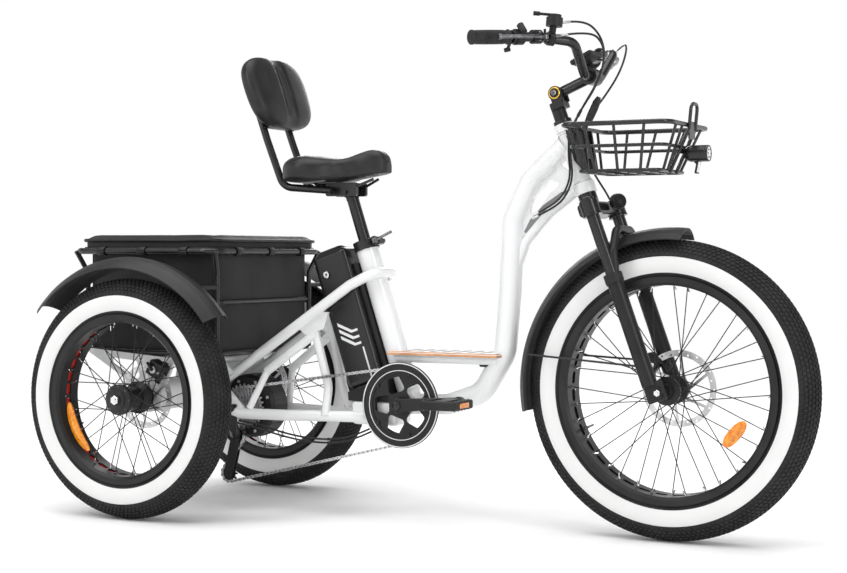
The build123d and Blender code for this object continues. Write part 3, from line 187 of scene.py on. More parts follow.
WHITE_PAINT = material("white_paint", (0.83, 0.835, 0.84), 0.32, coat=0.8)
tint(WHITE_PAINT, (0.815, 0.82, 0.825), (0.845, 0.85, 0.855), 6)
gloss(WHITE_PAINT, 0.27, 0.38, 40)
relief(WHITE_PAINT, NOISE, 900, 0.03, 0.0001)

BLACK_METAL = material("black_metal", grey(0.014), 0.36, specular=0.3)
tint(BLACK_METAL, grey(0.011), grey(0.019), 12)
gloss(BLACK_METAL, 0.3, 0.44, 60)
relief(BLACK_METAL, NOISE, 1500, 0.06, 0.0001)

FENDER_PLASTIC = material("fender_plastic", grey(0.022), 0.42, specular=0.3)
tint(FENDER_PLASTIC, grey(0.018), grey(0.028), 9)
gloss(FENDER_PLASTIC, 0.36, 0.5, 25)
relief(FENDER_PLASTIC, NOISE, 1800, 0.12, 0.0001)

BLACK_GLOSS = material("black_gloss", grey(0.012), 0.2, specular=0.45)
tint(BLACK_GLOSS, grey(0.01), grey(0.016), 8)
gloss(BLACK_GLOSS, 0.16, 0.28, 30)

TUBE_GLOSS = material("black_tube", grey(0.012), 0.24, specular=0.5)
tint(TUBE_GLOSS, grey(0.01), grey(0.016), 16)
gloss(TUBE_GLOSS, 0.2, 0.3, 60)

BLACK_PLASTIC = material("black_plastic", grey(0.018), 0.5, specular=0.25)
tint(BLACK_PLASTIC, grey(0.014), grey(0.024), 15)
gloss(BLACK_PLASTIC, 0.42, 0.58, 50)
relief(BLACK_PLASTIC, CELLS, 1600, 0.15, 0.0001, output="Distance")

STEEL = material("bright_steel", grey(0.62, 0.01), 0.28, metallic=1.0)
tint(STEEL, grey(0.55, 0.01), grey(0.68, 0.01), 30)
gloss(STEEL, 0.2, 0.36, 300, (1, 0.1, 1))

DISC_STEEL = material("disc_steel", grey(0.7, 0.01), 0.3, metallic=0.85)
tint(DISC_STEEL, grey(0.62, 0.01), grey(0.78, 0.01), 60)
gloss(DISC_STEEL, 0.22, 0.4, 400)
relief(DISC_STEEL, NOISE, 700, 0.1, 0.0001)

CHROME = material("chrome", grey(0.8, 0.01), 0.12, metallic=1.0)
gloss(CHROME, 0.08, 0.2, 80)

DARK_STEEL = material("dark_steel", grey(0.2, 0.01), 0.32, metallic=1.0)
tint(DARK_STEEL, grey(0.14, 0.01), grey(0.26, 0.01), 90)
gloss(DARK_STEEL, 0.25, 0.42, 200)

GOLD = material("gold_anodised", (0.83, 0.52, 0.08), 0.25, metallic=1.0)
gloss(GOLD, 0.18, 0.32, 200)

TREAD = material("tread_rubber", grey(0.02), 0.62, specular=0.22)
tint(TREAD, grey(0.016), grey(0.028), 14)
gloss(TREAD, 0.52, 0.72, 60)
relief(TREAD, NOISE, 1200, 0.2, 0.0002)

WHITE_WALL = material("white_wall", grey(0.76, -0.005), 0.5)
tint(WHITE_WALL, grey(0.745, -0.005), grey(0.775, -0.005), 10)
gloss(WHITE_WALL, 0.44, 0.58, 40)
relief(WHITE_WALL, NOISE, 500, 0.05, 0.0002)

GRIP_RUBBER = material("grip_rubber", grey(0.02, 0), 0.6, specular=0.25)
tint(GRIP_RUBBER, grey(0.016, 0), grey(0.028, 0), 40)
relief(GRIP_RUBBER, CELLS, 700, 0.3, 0.0003, output="Distance")

LEATHER = material("saddle_leather", grey(0.014), 0.4, specular=0.35)
tint(LEATHER, grey(0.012), grey(0.022), 22)
gloss(LEATHER, 0.33, 0.5, 45)
relief(LEATHER, CELLS, 420, 0.14, 0.0003, output="Distance")

THREAD_PITCH = 0.0016
BAG_FABRIC = material("bag_fabric", grey(0.014), 0.6, specular=0.25)
tint(BAG_FABRIC, grey(0.016), grey(0.027), 5)
gloss(BAG_FABRIC, 0.48, 0.64, 12)
for thread in ((1, 1, 0.02), (0.02, 1, 1)):
    relief(BAG_FABRIC, WAVE, 0.5 / THREAD_PITCH, 0.35, 0.0003, thread, bands_direction="DIAGONAL")
relief(BAG_FABRIC, NOISE, 18, 0.16, 0.004)

BINDING = material("bag_binding", grey(0.012), 0.42, specular=0.3)
tint(BINDING, grey(0.01, 0), grey(0.018, 0), 30)
relief(BINDING, WAVE, 260, 0.3, 0.0004, bands_direction="DIAGONAL")

CABLE_RUBBER = material("cable_rubber", grey(0.015, 0), 0.38, specular=0.35)
tint(CABLE_RUBBER, grey(0.012, 0), grey(0.02, 0), 50)
gloss(CABLE_RUBBER, 0.3, 0.48, 120)

AMBER = material("amber_reflector", (0.85, 0.27, 0.005), 0.18, coat=0.7)
tint(AMBER, (0.72, 0.17, 0.002), (0.92, 0.36, 0.01), 120)
relief(AMBER, CELLS, 380, 0.5, 0.0008, output="Distance")

RED_TAPE = material("red_rim_tape", (0.62, 0.03, 0.012), 0.5)
tint(RED_TAPE, (0.5, 0.02, 0.01), (0.72, 0.05, 0.02), 60)

LENS = material("lamp_lens", (0.75, 0.77, 0.8), 0.12, coat=1.0)
tint(LENS, (0.5, 0.52, 0.56), (0.9, 0.92, 0.95), 90)
relief(LENS, CELLS, 260, 0.5, 0.001, output="Distance")

# Painted shade: this grey stands for the shaded hollow seen through the gusset's slot.
SLOT_SHADE_GREY = material("slot_shade_grey", grey(0.16, 0.005), 0.4, coat=0.4)
tint(SLOT_SHADE_GREY, grey(0.14, 0.005), grey(0.19, 0.005), 20)

PALE_STRIPE = material("pale_stripe", grey(0.75, 0.01), 0.35, coat=0.4)
tint(PALE_STRIPE, grey(0.7, 0.01), grey(0.8, 0.01), 20)

SCREEN = material("display_glass", (0.03, 0.035, 0.045), 0.1, coat=1.0)
tint(SCREEN, (0.02, 0.024, 0.03), (0.05, 0.055, 0.065), 25)

WOOD = material("step_wood", (0.6, 0.28, 0.12), 0.45, coat=0.2)
tint(WOOD, (0.45, 0.17, 0.06), (0.75, 0.4, 0.2), 14, stretch=(1, 9, 1))
relief(WOOD, NOISE, 60, 0.2, 0.0006, (1, 12, 1))

GRIP_TAPE = material("step_grip", (0.36, 0.35, 0.34), 0.7)
tint(GRIP_TAPE, (0.28, 0.27, 0.26), (0.46, 0.45, 0.44), 500)
relief(GRIP_TAPE, NOISE, 900, 0.5, 0.0005)

FLOOR = material("studio_floor", grey(0.95, 0), 0.8, specular=0.1)
tint(FLOOR, grey(0.948, 0), grey(0.952, 0), 2)

NODE_LOOKS = {
    WHITE_PAINT: "front_frame rear_stays axle_frame step_plate",
    TUBE_GLOSS: "cargo_frame front_basket saddle_frame seat_post stem_arm handlebar seat_clamp"
    " fork_crown",
    BLACK_METAL: "stem_base fork_lowers front_rim rear_rim_left rear_rim_right front_hub"
    " rear_hub_left rear_hub_right chainring crank_right crank_left motor_drum front_caliper"
    " rear_calipers derailleur brake_perches",
    FENDER_PLASTIC: "rear_fenders front_fender",
    BLACK_PLASTIC: "battery_cradle display throttle throttle_lever shifter pedal_right pedal_left"
    " shift_lever",
    BLACK_GLOSS: "battery headlight",
    STEEL: "cassette axle_sprocket chain axle_chain",
    DARK_STEEL: "brake_lever_left brake_lever_right seat_lever",
    DISC_STEEL: "front_disc rear_disc_left rear_disc_right",
    TREAD: "front_tyre rear_tyre_left rear_tyre_right",
    GRIP_RUBBER: "grips",
    LEATHER: "saddle backrest_pad",
    BAG_FABRIC: "cargo_bag bag_lid",
    CABLE_RUBBER: "control_cables chainstay_cables",
}
for look, names in NODE_LOOKS.items():
    for name in names.split():
        mesh = frame["nodes"][name].data
        mesh.materials.clear()
        mesh.materials.append(look)


# ---------------- mesh helpers
class Build:
    """A mesh being gathered from several shapes, with a material number for each face."""

    def __init__(self):
        self.points = []
        self.faces = []
        self.looks = []

    def add(self, points, faces, look=0):
        start = len(self.points)
        self.points.extend(points)
        self.faces.extend([[start + corner for corner in face] for face in faces])
        self.looks.extend([look] * len(faces))

    def finish(self, name, looks, body, slot, sharp=40.0):
        """The object, riding on its body."""
        mesh = bpy.data.meshes.new(name)
        mesh.from_pydata([tuple(point) for point in self.points], [], self.faces)
        mesh.validate()
        for look in looks:
            mesh.materials.append(look)
        if len(looks) > 1:
            mesh.polygons.foreach_set("material_index", self.looks)
        mesh.shade_smooth()
        mesh.set_sharp_from_angle(angle=math.radians(sharp))
        made = bpy.data.objects.new(name, mesh)
        bpy.context.scene.collection.objects.link(made)
        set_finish(made, slot)
        if body:
            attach(made, body)
        return made

    def close(self, name, looks, body, slot, sharp=40.0):
        """The object, with the faces of its shells turned outwards."""
        made = self.finish(name, looks, body, slot, sharp)
        fix_normals(made)
        return made


def fix_normals(made, weld=0.0):
    """Turns each shell's faces outwards, after joining points no further than weld apart."""
    work = bmesh.new()
    work.from_mesh(made.data)
    if weld:
        bmesh.ops.remove_doubles(work, verts=work.verts, dist=weld)
    bmesh.ops.recalc_face_normals(work, faces=work.faces)
    work.to_mesh(made.data)
    work.free()


def grid_faces(rows, columns, close_rows=False, close_columns=False):
    """Quads over a grid of points, row by row."""
    faces = []
    for row in range(rows if close_rows else rows - 1):
        here, below = row * columns, (row + 1) % rows * columns
        for column in range(columns if close_columns else columns - 1):
            after = (column + 1) % columns
            faces.append([here + column, here + after, below + after, below + column])
    return faces


def frames_along(points):
    """Two directions across a path at each of its points, without twist."""
    across = None
    made = []
    for index in range(len(points)):
        before = points[max(index - 1, 0)]
        after = points[min(index + 1, len(points) - 1)]
        run = (after - before).normalized()
        if across is None:
            across = run.orthogonal().normalized()
        across = (across - run * across.dot(run)).normalized()
        made.append((across, run.cross(across)))
    return made


def add_tube(build, points, radius, segments=12, look=0, caps=True):
    """A round tube along points, in metres; radius is one number or one for each point."""
    points = [Vector(point) for point in points]
    radii = radius if isinstance(radius, (list, tuple)) else [radius] * len(points)
    rings = []
    for point, (first, second), size in zip(points, frames_along(points), radii):
        for step in range(segments):
            angle = 2 * math.pi * step / segments
            rings.append(point + (first * math.cos(angle) + second * math.sin(angle)) * size)
    faces = [face[::-1] for face in grid_faces(len(points), segments, close_columns=True)]
    if caps:
        faces.append(list(range(segments)))
        faces.append([len(rings) - 1 - step for step in range(segments)])
    build.add(rings, faces, look)


def add_lathe(build, centre, profile, axis, segments, look=0, closed=False):
    """A body of revolution from (radius, distance along the axis) points in millimetres."""
    axis = Vector(axis).normalized()
    first = Vector((0, 0, 1)) if abs(axis.z) < 0.9 else Vector((1, 0, 0))
    first = (first - axis * first.dot(axis)).normalized()
    second = axis.cross(first)
    points = []
    for radius, along in profile:
        for step in range(segments):
            angle = 2 * math.pi * step / segments
            out = first * math.cos(angle) + second * math.sin(angle)
            points.append(centre + (out * radius + axis * along) * MM)
    build.add(points, grid_faces(len(profile), segments, closed, True), look)


def add_prism(build, outline, thickness, origin, x_dir, y_dir, look=0, bevel=0.0):
    """A flat plate with this outline in millimetres; bevel slopes the rim of both its faces."""
    x_dir, y_dir = Vector(x_dir).normalized(), Vector(y_dir).normalized()
    normal = x_dir.cross(y_dir)
    middle = Vector((sum(p[0] for p in outline), sum(p[1] for p in outline))) / len(outline)
    count = len(outline)
    points = []
    half = thickness / 2
    layers = [(-half, 0), (half, 0)]
    if bevel:
        layers = [(-half, bevel), (-half + bevel, 0), (half - bevel, 0), (half, bevel)]
    for height, inset in layers:
        for x, y in outline:
            away = Vector((x, y)) - middle
            scale = max(0.0, 1 - inset / max(away.length, 1e-6))
            flat = middle + away * scale
            points.append(Vector(origin) + (x_dir * flat.x + y_dir * flat.y + normal * height) * MM)
    faces = grid_faces(len(layers), count, close_columns=True)
    faces.append(list(range(count))[::-1])
    faces.append([len(points) - count + step for step in range(count)])
    build.add(points, faces, look)


def add_ball(build, centre, radii, look, rows, columns):
    """A rounded knob with three radii in millimetres."""
    points = []
    for row in range(rows + 1):
        rise = math.pi * (row / rows - 0.5)
        for column in range(columns):
            angle = 2 * math.pi * column / columns
            out = Vector((math.cos(rise) * math.cos(angle), math.cos(rise) * math.sin(angle), math.sin(rise)))
            points.append(centre + out * Vector(radii) * MM)
    build.add(points, grid_faces(rows + 1, columns, close_columns=True), look)


def add_bolt(build, place, axis, radius, height, look=0, hexed=True):
    """A hexagonal or round bolt head with a chamfered rim and a dished top."""
    shares = ((0.2, 0.55), (0.5, 0.6), (0.55, 1), (0.86, 1), (1, 0.8), (1, 0), (0.3, 0))
    profile = [(radius * out, height * up) for out, up in shares]
    add_lathe(build, Vector(place), profile, axis, 6 if hexed else 20, look)


def around(centre, radius, angle, side=0.0):
    """A point at an angle about a crosswise axle; radius and side in millimetres."""
    turn = math.radians(angle)
    return centre + Vector((math.cos(turn) * radius, side, math.sin(turn) * radius)) * MM


def chamfered(half_x, half_y, cut_x, cut_y):
    """A plate's outline with its corners cut: the cuts start at these shares of the half sizes."""
    lower = [(-1, -cut_y), (-cut_x, -1), (cut_x, -1), (1, -cut_y)]
    shares = lower + [(-x, -y) for x, y in lower]
    return [(x * half_x, y * half_y) for x, y in shares]


def oblong(half_x, half_y):
    """A rectangle's outline about its middle."""
    return [(-half_x, -half_y), (half_x, -half_y), (half_x, half_y), (-half_x, half_y)]


def arc_through(start, middle, end, steps):
    """Points of the circle through three points of a plane."""
    (ax, ay), (bx, by), (cx, cy) = start, middle, end
    scale = 2 * (ax * (by - cy) + bx * (cy - ay) + cx * (ay - by))
    a_square, b_square, c_square = ax * ax + ay * ay, bx * bx + by * by, cx * cx + cy * cy
    ux = (a_square * (by - cy) + b_square * (cy - ay) + c_square * (ay - by)) / scale
    uy = (a_square * (cx - bx) + b_square * (ax - cx) + c_square * (bx - ax)) / scale
    radius = math.hypot(ax - ux, ay - uy)
    first = math.atan2(ay - uy, ax - ux)
    last = math.atan2(cy - uy, cx - ux)
    half = math.atan2(by - uy, bx - ux)
    turn = (last - first) % (2 * math.pi)
    if (half - first) % (2 * math.pi) > turn:
        turn -= 2 * math.pi
    angles = [first + turn * n / steps for n in range(steps + 1)]
    return [(ux + radius * math.cos(angle), uy + radius * math.sin(angle)) for angle in angles]


def eased(value):
    """0 to 1 with a smooth start and end."""
    value = min(1.0, max(0.0, value))
    return value * value * (3 - 2 * value)


def between(value, table):
    """A value read from (position, value, ...) rows along a smooth curve through them, column by column."""
    last = len(table) - 1
    index = next((n for n in range(last) if value <= table[n + 1][0]), last - 1)
    before, after = table[index], table[index + 1]
    earlier, later = table[max(index - 1, 0)], table[min(index + 2, last)]
    gap = after[0] - before[0]
    share = min(1.0, max(0.0, (value - before[0]) / gap))
    made = []
    for column in range(1, len(before)):
        rise = (after[column] - earlier[column]) / max(after[0] - earlier[0], 1e-6) * gap
        fall = (later[column] - before[column]) / max(later[0] - before[0], 1e-6) * gap
        square, cube = share * share, share * share * share
        made.append(
            before[column] * (2 * cube - 3 * square + 1)
            + rise * (cube - 2 * square + share)
            + after[column] * (3 * square - 2 * cube)
            + fall * (cube - square)
        )
    return made


# ---------------- camera, light and floor
CAMERA_SPOT = (1.8707, -3.6145, 0.66)
CAMERA_YAW, CAMERA_PITCH, CAMERA_ROLL = 27.64, 1.15, 0.15
CAMERA_LENS, CAMERA_SENSOR = 70.01, 36.0
SUN_POWER, SUN_SPREAD = 2.42, 70
DOME_SPAN, DOME_LIGHT = (0.18, 0.5), (1.0, 0.22)
FLOOR_HALF, FLOOR_DROP = 14, 0.0006
camera = bpy.data.objects.new("camera", bpy.data.cameras.new("camera"))
bpy.context.scene.collection.objects.link(camera)
bpy.context.scene.camera = camera
camera.data.lens, camera.data.sensor_width = CAMERA_LENS, CAMERA_SENSOR
camera.data.clip_start, camera.data.clip_end = 0.05, 60
yaw, pitch = math.radians(CAMERA_YAW), math.radians(CAMERA_PITCH)
back = Vector((math.sin(yaw) * math.cos(pitch), -math.cos(yaw) * math.cos(pitch), math.sin(pitch)))
camera.location = CAMERA_SPOT
camera.rotation_mode = "QUATERNION"
roll = Quaternion((0, 0, 1), math.radians(CAMERA_ROLL))
camera.rotation_quaternion = (-back).to_track_quat("-Z", "Y") @ roll

world = bpy.data.worlds.new("studio")
bpy.context.scene.world = world
world.use_nodes = True
sky = world.node_tree
sky.nodes["Background"].inputs["Color"].default_value = (1, 1, 1, 1)
direction = sky.nodes.new("ShaderNodeTexCoord")
split = sky.nodes.new("ShaderNodeSeparateXYZ")
dome = sky.nodes.new("ShaderNodeMapRange")
dome.interpolation_type = "SMOOTHSTEP"
for socket, value in zip(("From Min", "From Max", "To Min", "To Max"), DOME_SPAN + DOME_LIGHT):
    dome.inputs[socket].default_value = value
sky.links.new(direction.outputs["Generated"], split.inputs["Vector"])
sky.links.new(split.outputs["Z"], dome.inputs["Value"])
sky.links.new(dome.outputs["Result"], sky.nodes["Background"].inputs["Strength"])
bpy.context.scene.view_settings.view_transform = "Standard"


def softbox(name, place, target, width, height, power):
    """A large rectangular studio light aimed at a point."""
    light = bpy.data.lights.new(name, "AREA")
    light.shape = "RECTANGLE"
    light.size, light.size_y, light.energy = width, height, power
    made = bpy.data.objects.new(name, light)
    made.location = place
    made.rotation_mode = "QUATERNION"
    made.rotation_quaternion = (Vector(target) - Vector(place)).to_track_quat("-Z", "Y")
    bpy.context.scene.collection.objects.link(made)


sun = bpy.data.objects.new("overhead", bpy.data.lights.new("overhead", "SUN"))
sun.data.energy, sun.data.angle = SUN_POWER, math.radians(SUN_SPREAD)
sun.rotation_mode = "QUATERNION"
sun.rotation_quaternion = Vector((0.06, 0.14, -1)).to_track_quat("-Z", "Y")
bpy.context.scene.collection.objects.link(sun)
softbox("key", (-1.8, -2.8, 2.6), (0, 0, 0.5), 0.9, 1.9, 32)
softbox("front_strip", (3.0, -1.4, 1.9), (0.2, 0, 0.6), 0.5, 2.2, 26)
softbox("rim", (-1.4, 2.9, 2.0), (0, 0, 0.7), 1.8, 1.0, 30)

floor_build = Build()
floor_corners = [(x, y, -FLOOR_DROP) for x, y in oblong(FLOOR_HALF, FLOOR_HALF)]
floor_build.add(floor_corners, [[0, 1, 2, 3]])
floor = floor_build.finish("studio_floor", [FLOOR], None, "white_paint")
del floor["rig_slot"]


# ---------------- cables
def route_points(points):
    """A cable's line: the smooth curve that its route's points control, in metres."""
    curve = bpy.data.curves.new("route", "CURVE")
    curve.dimensions = "3D"
    curve.resolution_u = 10
    spline = curve.splines.new("NURBS")
    spline.points.add(len(points) - 1)
    for control, point in zip(spline.points, points):
        control.co = (*point, 1)
    spline.order_u = 3
    spline.use_endpoint_u = True
    holder = bpy.data.objects.new("route", curve)
    bpy.context.scene.collection.objects.link(holder)
    line = bpy.data.meshes.new_from_object(holder)
    found = [vertex.co.copy() for vertex in line.vertices]
    bpy.data.objects.remove(holder)
    bpy.data.meshes.remove(line)
    return found


BAR_BEND = Vector((1099, 125, 1142))
GRIP_START = Vector((1035, 190, 1150))
GRIP_END = Vector((946, 342, 1136.5))


def beside_bar(start, end):
    """Points near a straight run of the bar: along it outwards, ahead of it, and above it."""
    run = (end - start).normalized()
    forward = Vector((run.y, -run.x, 0)).normalized()
    above = forward.cross(run)

    def place(side, along, ahead, up):
        point = start + run * along + forward * ahead + above * up
        return spot(point.x, side * point.y, point.z)

    return place


grip = beside_bar(GRIP_START, GRIP_END)
neck = beside_bar(BAR_BEND, GRIP_START)
CABLE_R = 2.5 * MM
SHIFTER_ALONG = 58.0
# each cable: its first point, the body it ends on, the heights it bends between, the rest of its route
ROUTES = {
    "gear_cable": (
        neck(-1, SHIFTER_ALONG - 20, 12, 38),
        ("frame", 0.98, 0.79),
        [
            (1118, -112, 1194), (1146, -78, 1160), (1146, -50, 1112), (1120, -36, 1056),
            (1082, -36, 1000), (1054, -36, 946), (1054, -38, 892), (1062, -38, 838),
            (1040, -34, 790), (1000, -26, 764), (952, -24, 744),
        ],
    ),
    "rear_brake_cable": (
        grip(-1, -28, 34, -2),
        ("frame", 0.98, 0.79),
        [
            (1132, -114, 1168), (1150, -72, 1142), (1138, -40, 1096), (1112, -28, 1046),
            (1076, -27, 996), (1048, -29, 948), (1046, -31, 894), (1054, -33, 842),
            (1034, -31, 796), (998, -29, 770), (956, -28, 752),
        ],
    ),
    "front_brake_cable": (
        grip(1, -28, 34, -2),
        ("fork_lower", 0.78, 0.53),
        [
            (1132, 114, 1168), (1152, 72, 1140), (1144, 46, 1086), (1112, 38, 1034),
            (1072, 36, 986), (1054, 38, 934), (1062, 44, 882), (1078, 76, 838), (1094, 112, 796),
            (1120, 120, 734), (1152, 118, 652), (1184, 115, 568), (1210, 111, 500),
            (1226, 106, 446),
        ],
    ),
}
SPLIT_UP = 1.0
FERRULE_R, CLIP_R = CABLE_R * 1.35, CABLE_R * 1.5
for cable_name, (first_point, (end_body, high, low), others) in ROUTES.items():
    line = route_points([first_point] + [spot(*point) for point in others])
    cut = next(index for index, point in enumerate(line) if point.z < SPLIT_UP)
    upper, lower = Build(), Build()
    add_tube(upper, line[: cut + 1], CABLE_R)
    add_tube(upper, line[:3], FERRULE_R, look=1)
    piece = upper.finish(f"{cable_name}_upper", [CABLE_RUBBER, STEEL], None, "cable_rubber")
    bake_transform(piece)
    if cable_name == "gear_cable":
        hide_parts("control_cables")
    add_tube(lower, line[cut:], CABLE_R)
    add_tube(lower, line[-3:], FERRULE_R, look=1)
    add_tube(lower, line[cut : cut + 4], CLIP_R)
    piece = lower.finish(f"{cable_name}_lower", [CABLE_RUBBER, STEEL], None, "cable_rubber")
    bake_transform(piece)

for number, shift in enumerate((0, 9)):
    side_shift = (0, 0, 0, 0, 0, shift, shift)
    up_shift = (shift, shift, shift, shift, shift, shift, shift / 2)
    stay_route = [
        (520, -18, 226), (478, -30, 204), (424, -48, 190), (352, -66, 192),
        (284, -86, 206), (226, -101, 226), (176, -112, 232),
    ]
    line = route_points(
        [spot(x, y - out, z - down) for (x, y, z), out, down in zip(stay_route, side_shift, up_shift)]
    )
    build = Build()
    add_tube(build, line, CABLE_R)
    for at in (len(line) // 3, 2 * len(line) // 3):
        add_tube(build, line[at : at + 2], CLIP_R)
    piece = build.finish(f"chainstay_cable_{number + 1}", [CABLE_RUBBER], "frame", "cable_rubber")
    if number == 0:
        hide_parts("chainstay_cables")


build = Build()
SLEEVE = ((1116, 1026, 5), (1110, 1014, 9), (1104, 1000, 9.6), (1096, 984, 9.6), (1086, 962, 7.6))
sleeve = [spot(ahead, -14, up) for ahead, up, _ in SLEEVE]
add_tube(build, sleeve, [radius * MM for _, _, radius in SLEEVE], 20)
add_tube(build, [sleeve[-1], spot(1080, -15, 940), spot(1078, -16, 900)], 3.6 * MM, 12)
build.finish("wiring_sleeve", [CABLE_RUBBER], "frame", "cable_rubber")


# ---------------- tyres
def tyre_profile(rim_radius, tyre_radius, crown_drop):
    """A tyre's side wall, from the bead up, and its crown from side to side, as (radius, side) points."""
    middle = (rim_radius + tyre_radius) / 2
    shoulder = (tyre_radius - 18 - crown_drop * 0.4, 35 - crown_drop * 0.6)
    wall = arc_through((rim_radius + 2, 36.6), (middle, 46.6), shoulder, 16)
    crown = arc_through(shoulder, (tyre_radius - crown_drop, 0), (shoulder[0], -shoulder[1]), 20)
    return [(rim_radius - 9, 34), (rim_radius - 2, 35.5)] + wall, crown


BLOCK_HEIGHT, SHOULDER_BLOCK_HEIGHT, BLOCK_PITCH, BLOCK_ROWS = 2.8, 1.6, 12.5, 13
TYRE_SEGMENTS = 144


def make_tyre(name, centre, rim_radius, tyre_radius, white_out, body, cad_node):
    """A fat tyre with white side walls and rows of small tread blocks."""
    wall, crown = tyre_profile(rim_radius, tyre_radius, BLOCK_HEIGHT)
    white_in = rim_radius + 9
    build = Build()
    for side in (1, -1):
        bands = [[], [], []]
        for radius, out in wall:
            band = 0 if radius < white_in else 1 if radius <= white_out else 2
            if bands[band] == [] and band:
                edge = white_in if band == 1 else white_out
                last = bands[band - 1][-1]
                share = (edge - last[0]) / max(radius - last[0], 1e-6)
                joint = (edge, last[1] + (out - last[1]) * share)
                bands[band - 1].append(joint)
                bands[band].append(joint)
            bands[band].append((radius, out))
        white = bands[1]
        bands[1] = [white[0]] + [(radius, out + 0.5) for radius, out in white[1:-1]] + [white[-1]]
        for band, points in enumerate(bands):
            profile = [(radius, side * out) for radius, out in points]
            if side < 0:
                profile = profile[::-1]
            add_lathe(build, centre, profile, (0, 1, 0), TYRE_SEGMENTS, 1 if band == 1 else 0)
    add_lathe(build, centre, crown, (0, 1, 0), TYRE_SEGMENTS)
    # the tread's rows are laid out along the section, from one side wall to the other
    path = [point for point in wall if point[0] > white_out + 1]
    path = path + crown[1:] + [(radius, -out) for radius, out in path[:-1][::-1]]
    lengths = [0.0]
    for before, after in zip(path, path[1:]):
        lengths.append(lengths[-1] + math.dist(before, after))

    def section(along, lift):
        along = min(max(along, 0.0), lengths[-1] - 1e-6)
        index = next(n for n in range(len(lengths) - 1) if lengths[n + 1] > along)
        share = (along - lengths[index]) / (lengths[index + 1] - lengths[index])
        (ar, ay), (br, by) = path[index], path[index + 1]
        run = Vector((br - ar, by - ay)).normalized()
        out = Vector((-run.y, run.x))
        base = Vector((ar + (br - ar) * share, ay + (by - ay) * share))
        if out.x + out.y * (0.4 if base.y > 0 else -0.4) < 0:
            out = -out
        return base + out * lift

    count = round(2 * math.pi * tyre_radius / BLOCK_PITCH)
    pitch = lengths[-1] / BLOCK_ROWS
    for row in range(BLOCK_ROWS):
        edge_row = row in (0, BLOCK_ROWS - 1)
        height = SHOULDER_BLOCK_HEIGHT if edge_row else BLOCK_HEIGHT
        half_turn = 2 * math.pi / count * (0.26 if edge_row else 0.36)
        middle = (row + 0.5) * pitch
        for number in range(count):
            turn = 2 * math.pi * (number + 0.5 * (row % 2)) / count
            wander = 0.06 * math.sin(number * 2.4 + row)
            half_width = pitch * (0.46 if edge_row else 0.37 + wander)
            points = []
            for lift, scale in ((-0.4, 1.0), (height, 0.8)):
                for s_sign, t_sign in oblong(1, 1):
                    place = section(middle + s_sign * half_width * scale, lift)
                    radius = min(place.x, tyre_radius - 0.1)
                    angle = turn + t_sign * half_turn * scale
                    out = Vector((math.cos(angle) * radius, place.y, math.sin(angle) * radius))
                    points.append(centre + out * MM)
            build.add(points, [[4, 5, 6, 7], [0, 1, 5, 4], [1, 2, 6, 5], [2, 3, 7, 6], [3, 0, 4, 7]])
    made = build.close(name, [TREAD, WHITE_WALL], body, "tyre_rubber", 30)
    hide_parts(cad_node)


FRONT_SIZES = (FRONT_RIM_R, FRONT_TYRE_R, FRONT_WHITE_R)
REAR_SIZES = (REAR_RIM_R, REAR_TYRE_R, REAR_WHITE_R)
make_tyre("front_tyre_detail", FRONT_AXLE, *FRONT_SIZES, "front_wheel", "front_tyre")
for name, side in SIDES:
    tyre = f"rear_tyre_{name}"
    make_tyre(f"{tyre}_detail", REAR_AXLE[name], *REAR_SIZES, f"rear_wheel_{name}", tyre)


# ---------------- rims, nipples and reflectors
NIPPLES = 36
RIM_DEPTH, TAPE_LIFT, TAPE_HALF_WIDTH, TAPE_THICKNESS = 20, 5.2, 23, 0.8
VALVE_ANGLE, VALVE_LENGTH = 205, 32


def dress_rim(name, centre, rim_radius, tape, body):
    """Rim tape behind the slots, a bright nipple at each spoke and a valve stem."""
    well = rim_radius - RIM_DEPTH
    under, over = well + TAPE_LIFT, well + TAPE_LIFT + TAPE_THICKNESS
    build = Build()
    half = TAPE_HALF_WIDTH
    section = [(under, -half), (under, half), (over, half), (over, -half)]
    add_lathe(build, centre, section, (0, 1, 0), 72, closed=True)
    build.close(f"{name}_tape", [tape], body, "black_metal")
    build = Build()
    for number in range(NIPPLES):
        angle = 360 / NIPPLES * number
        side = 1 if number % 2 else -1
        outer = around(centre, well + 0.5, angle, side * 12)
        lean = 1.6 if number // 2 % 2 else -1.6
        inner = around(centre, well - 11, angle + lean, side * 12.9)
        line = [outer, outer.lerp(inner, 0.3), outer.lerp(inner, 0.34), inner]
        add_tube(build, line, [2.9 * MM, 2.9 * MM, 2.1 * MM, 1.9 * MM], 8)
    build.close(f"{name}_nipples", [CHROME], body, "bright_steel")
    build = Build()
    root, tip = around(centre, well, VALVE_ANGLE), around(centre, well - VALVE_LENGTH, VALVE_ANGLE)
    line = [root, root.lerp(tip, 0.6), root.lerp(tip, 0.62), tip]
    add_tube(build, line, [3.2 * MM, 3 * MM, 2.4 * MM, 2.4 * MM], 10)
    build.close(f"{name}_valve", [DARK_STEEL], body, "black_metal")


dress_rim("front_rim", FRONT_AXLE, FRONT_RIM_R, BLACK_PLASTIC, "front_wheel")
for name, side in SIDES:
    dress_rim(f"rear_rim_{name}", REAR_AXLE[name], REAR_RIM_R, RED_TAPE, f"rear_wheel_{name}")


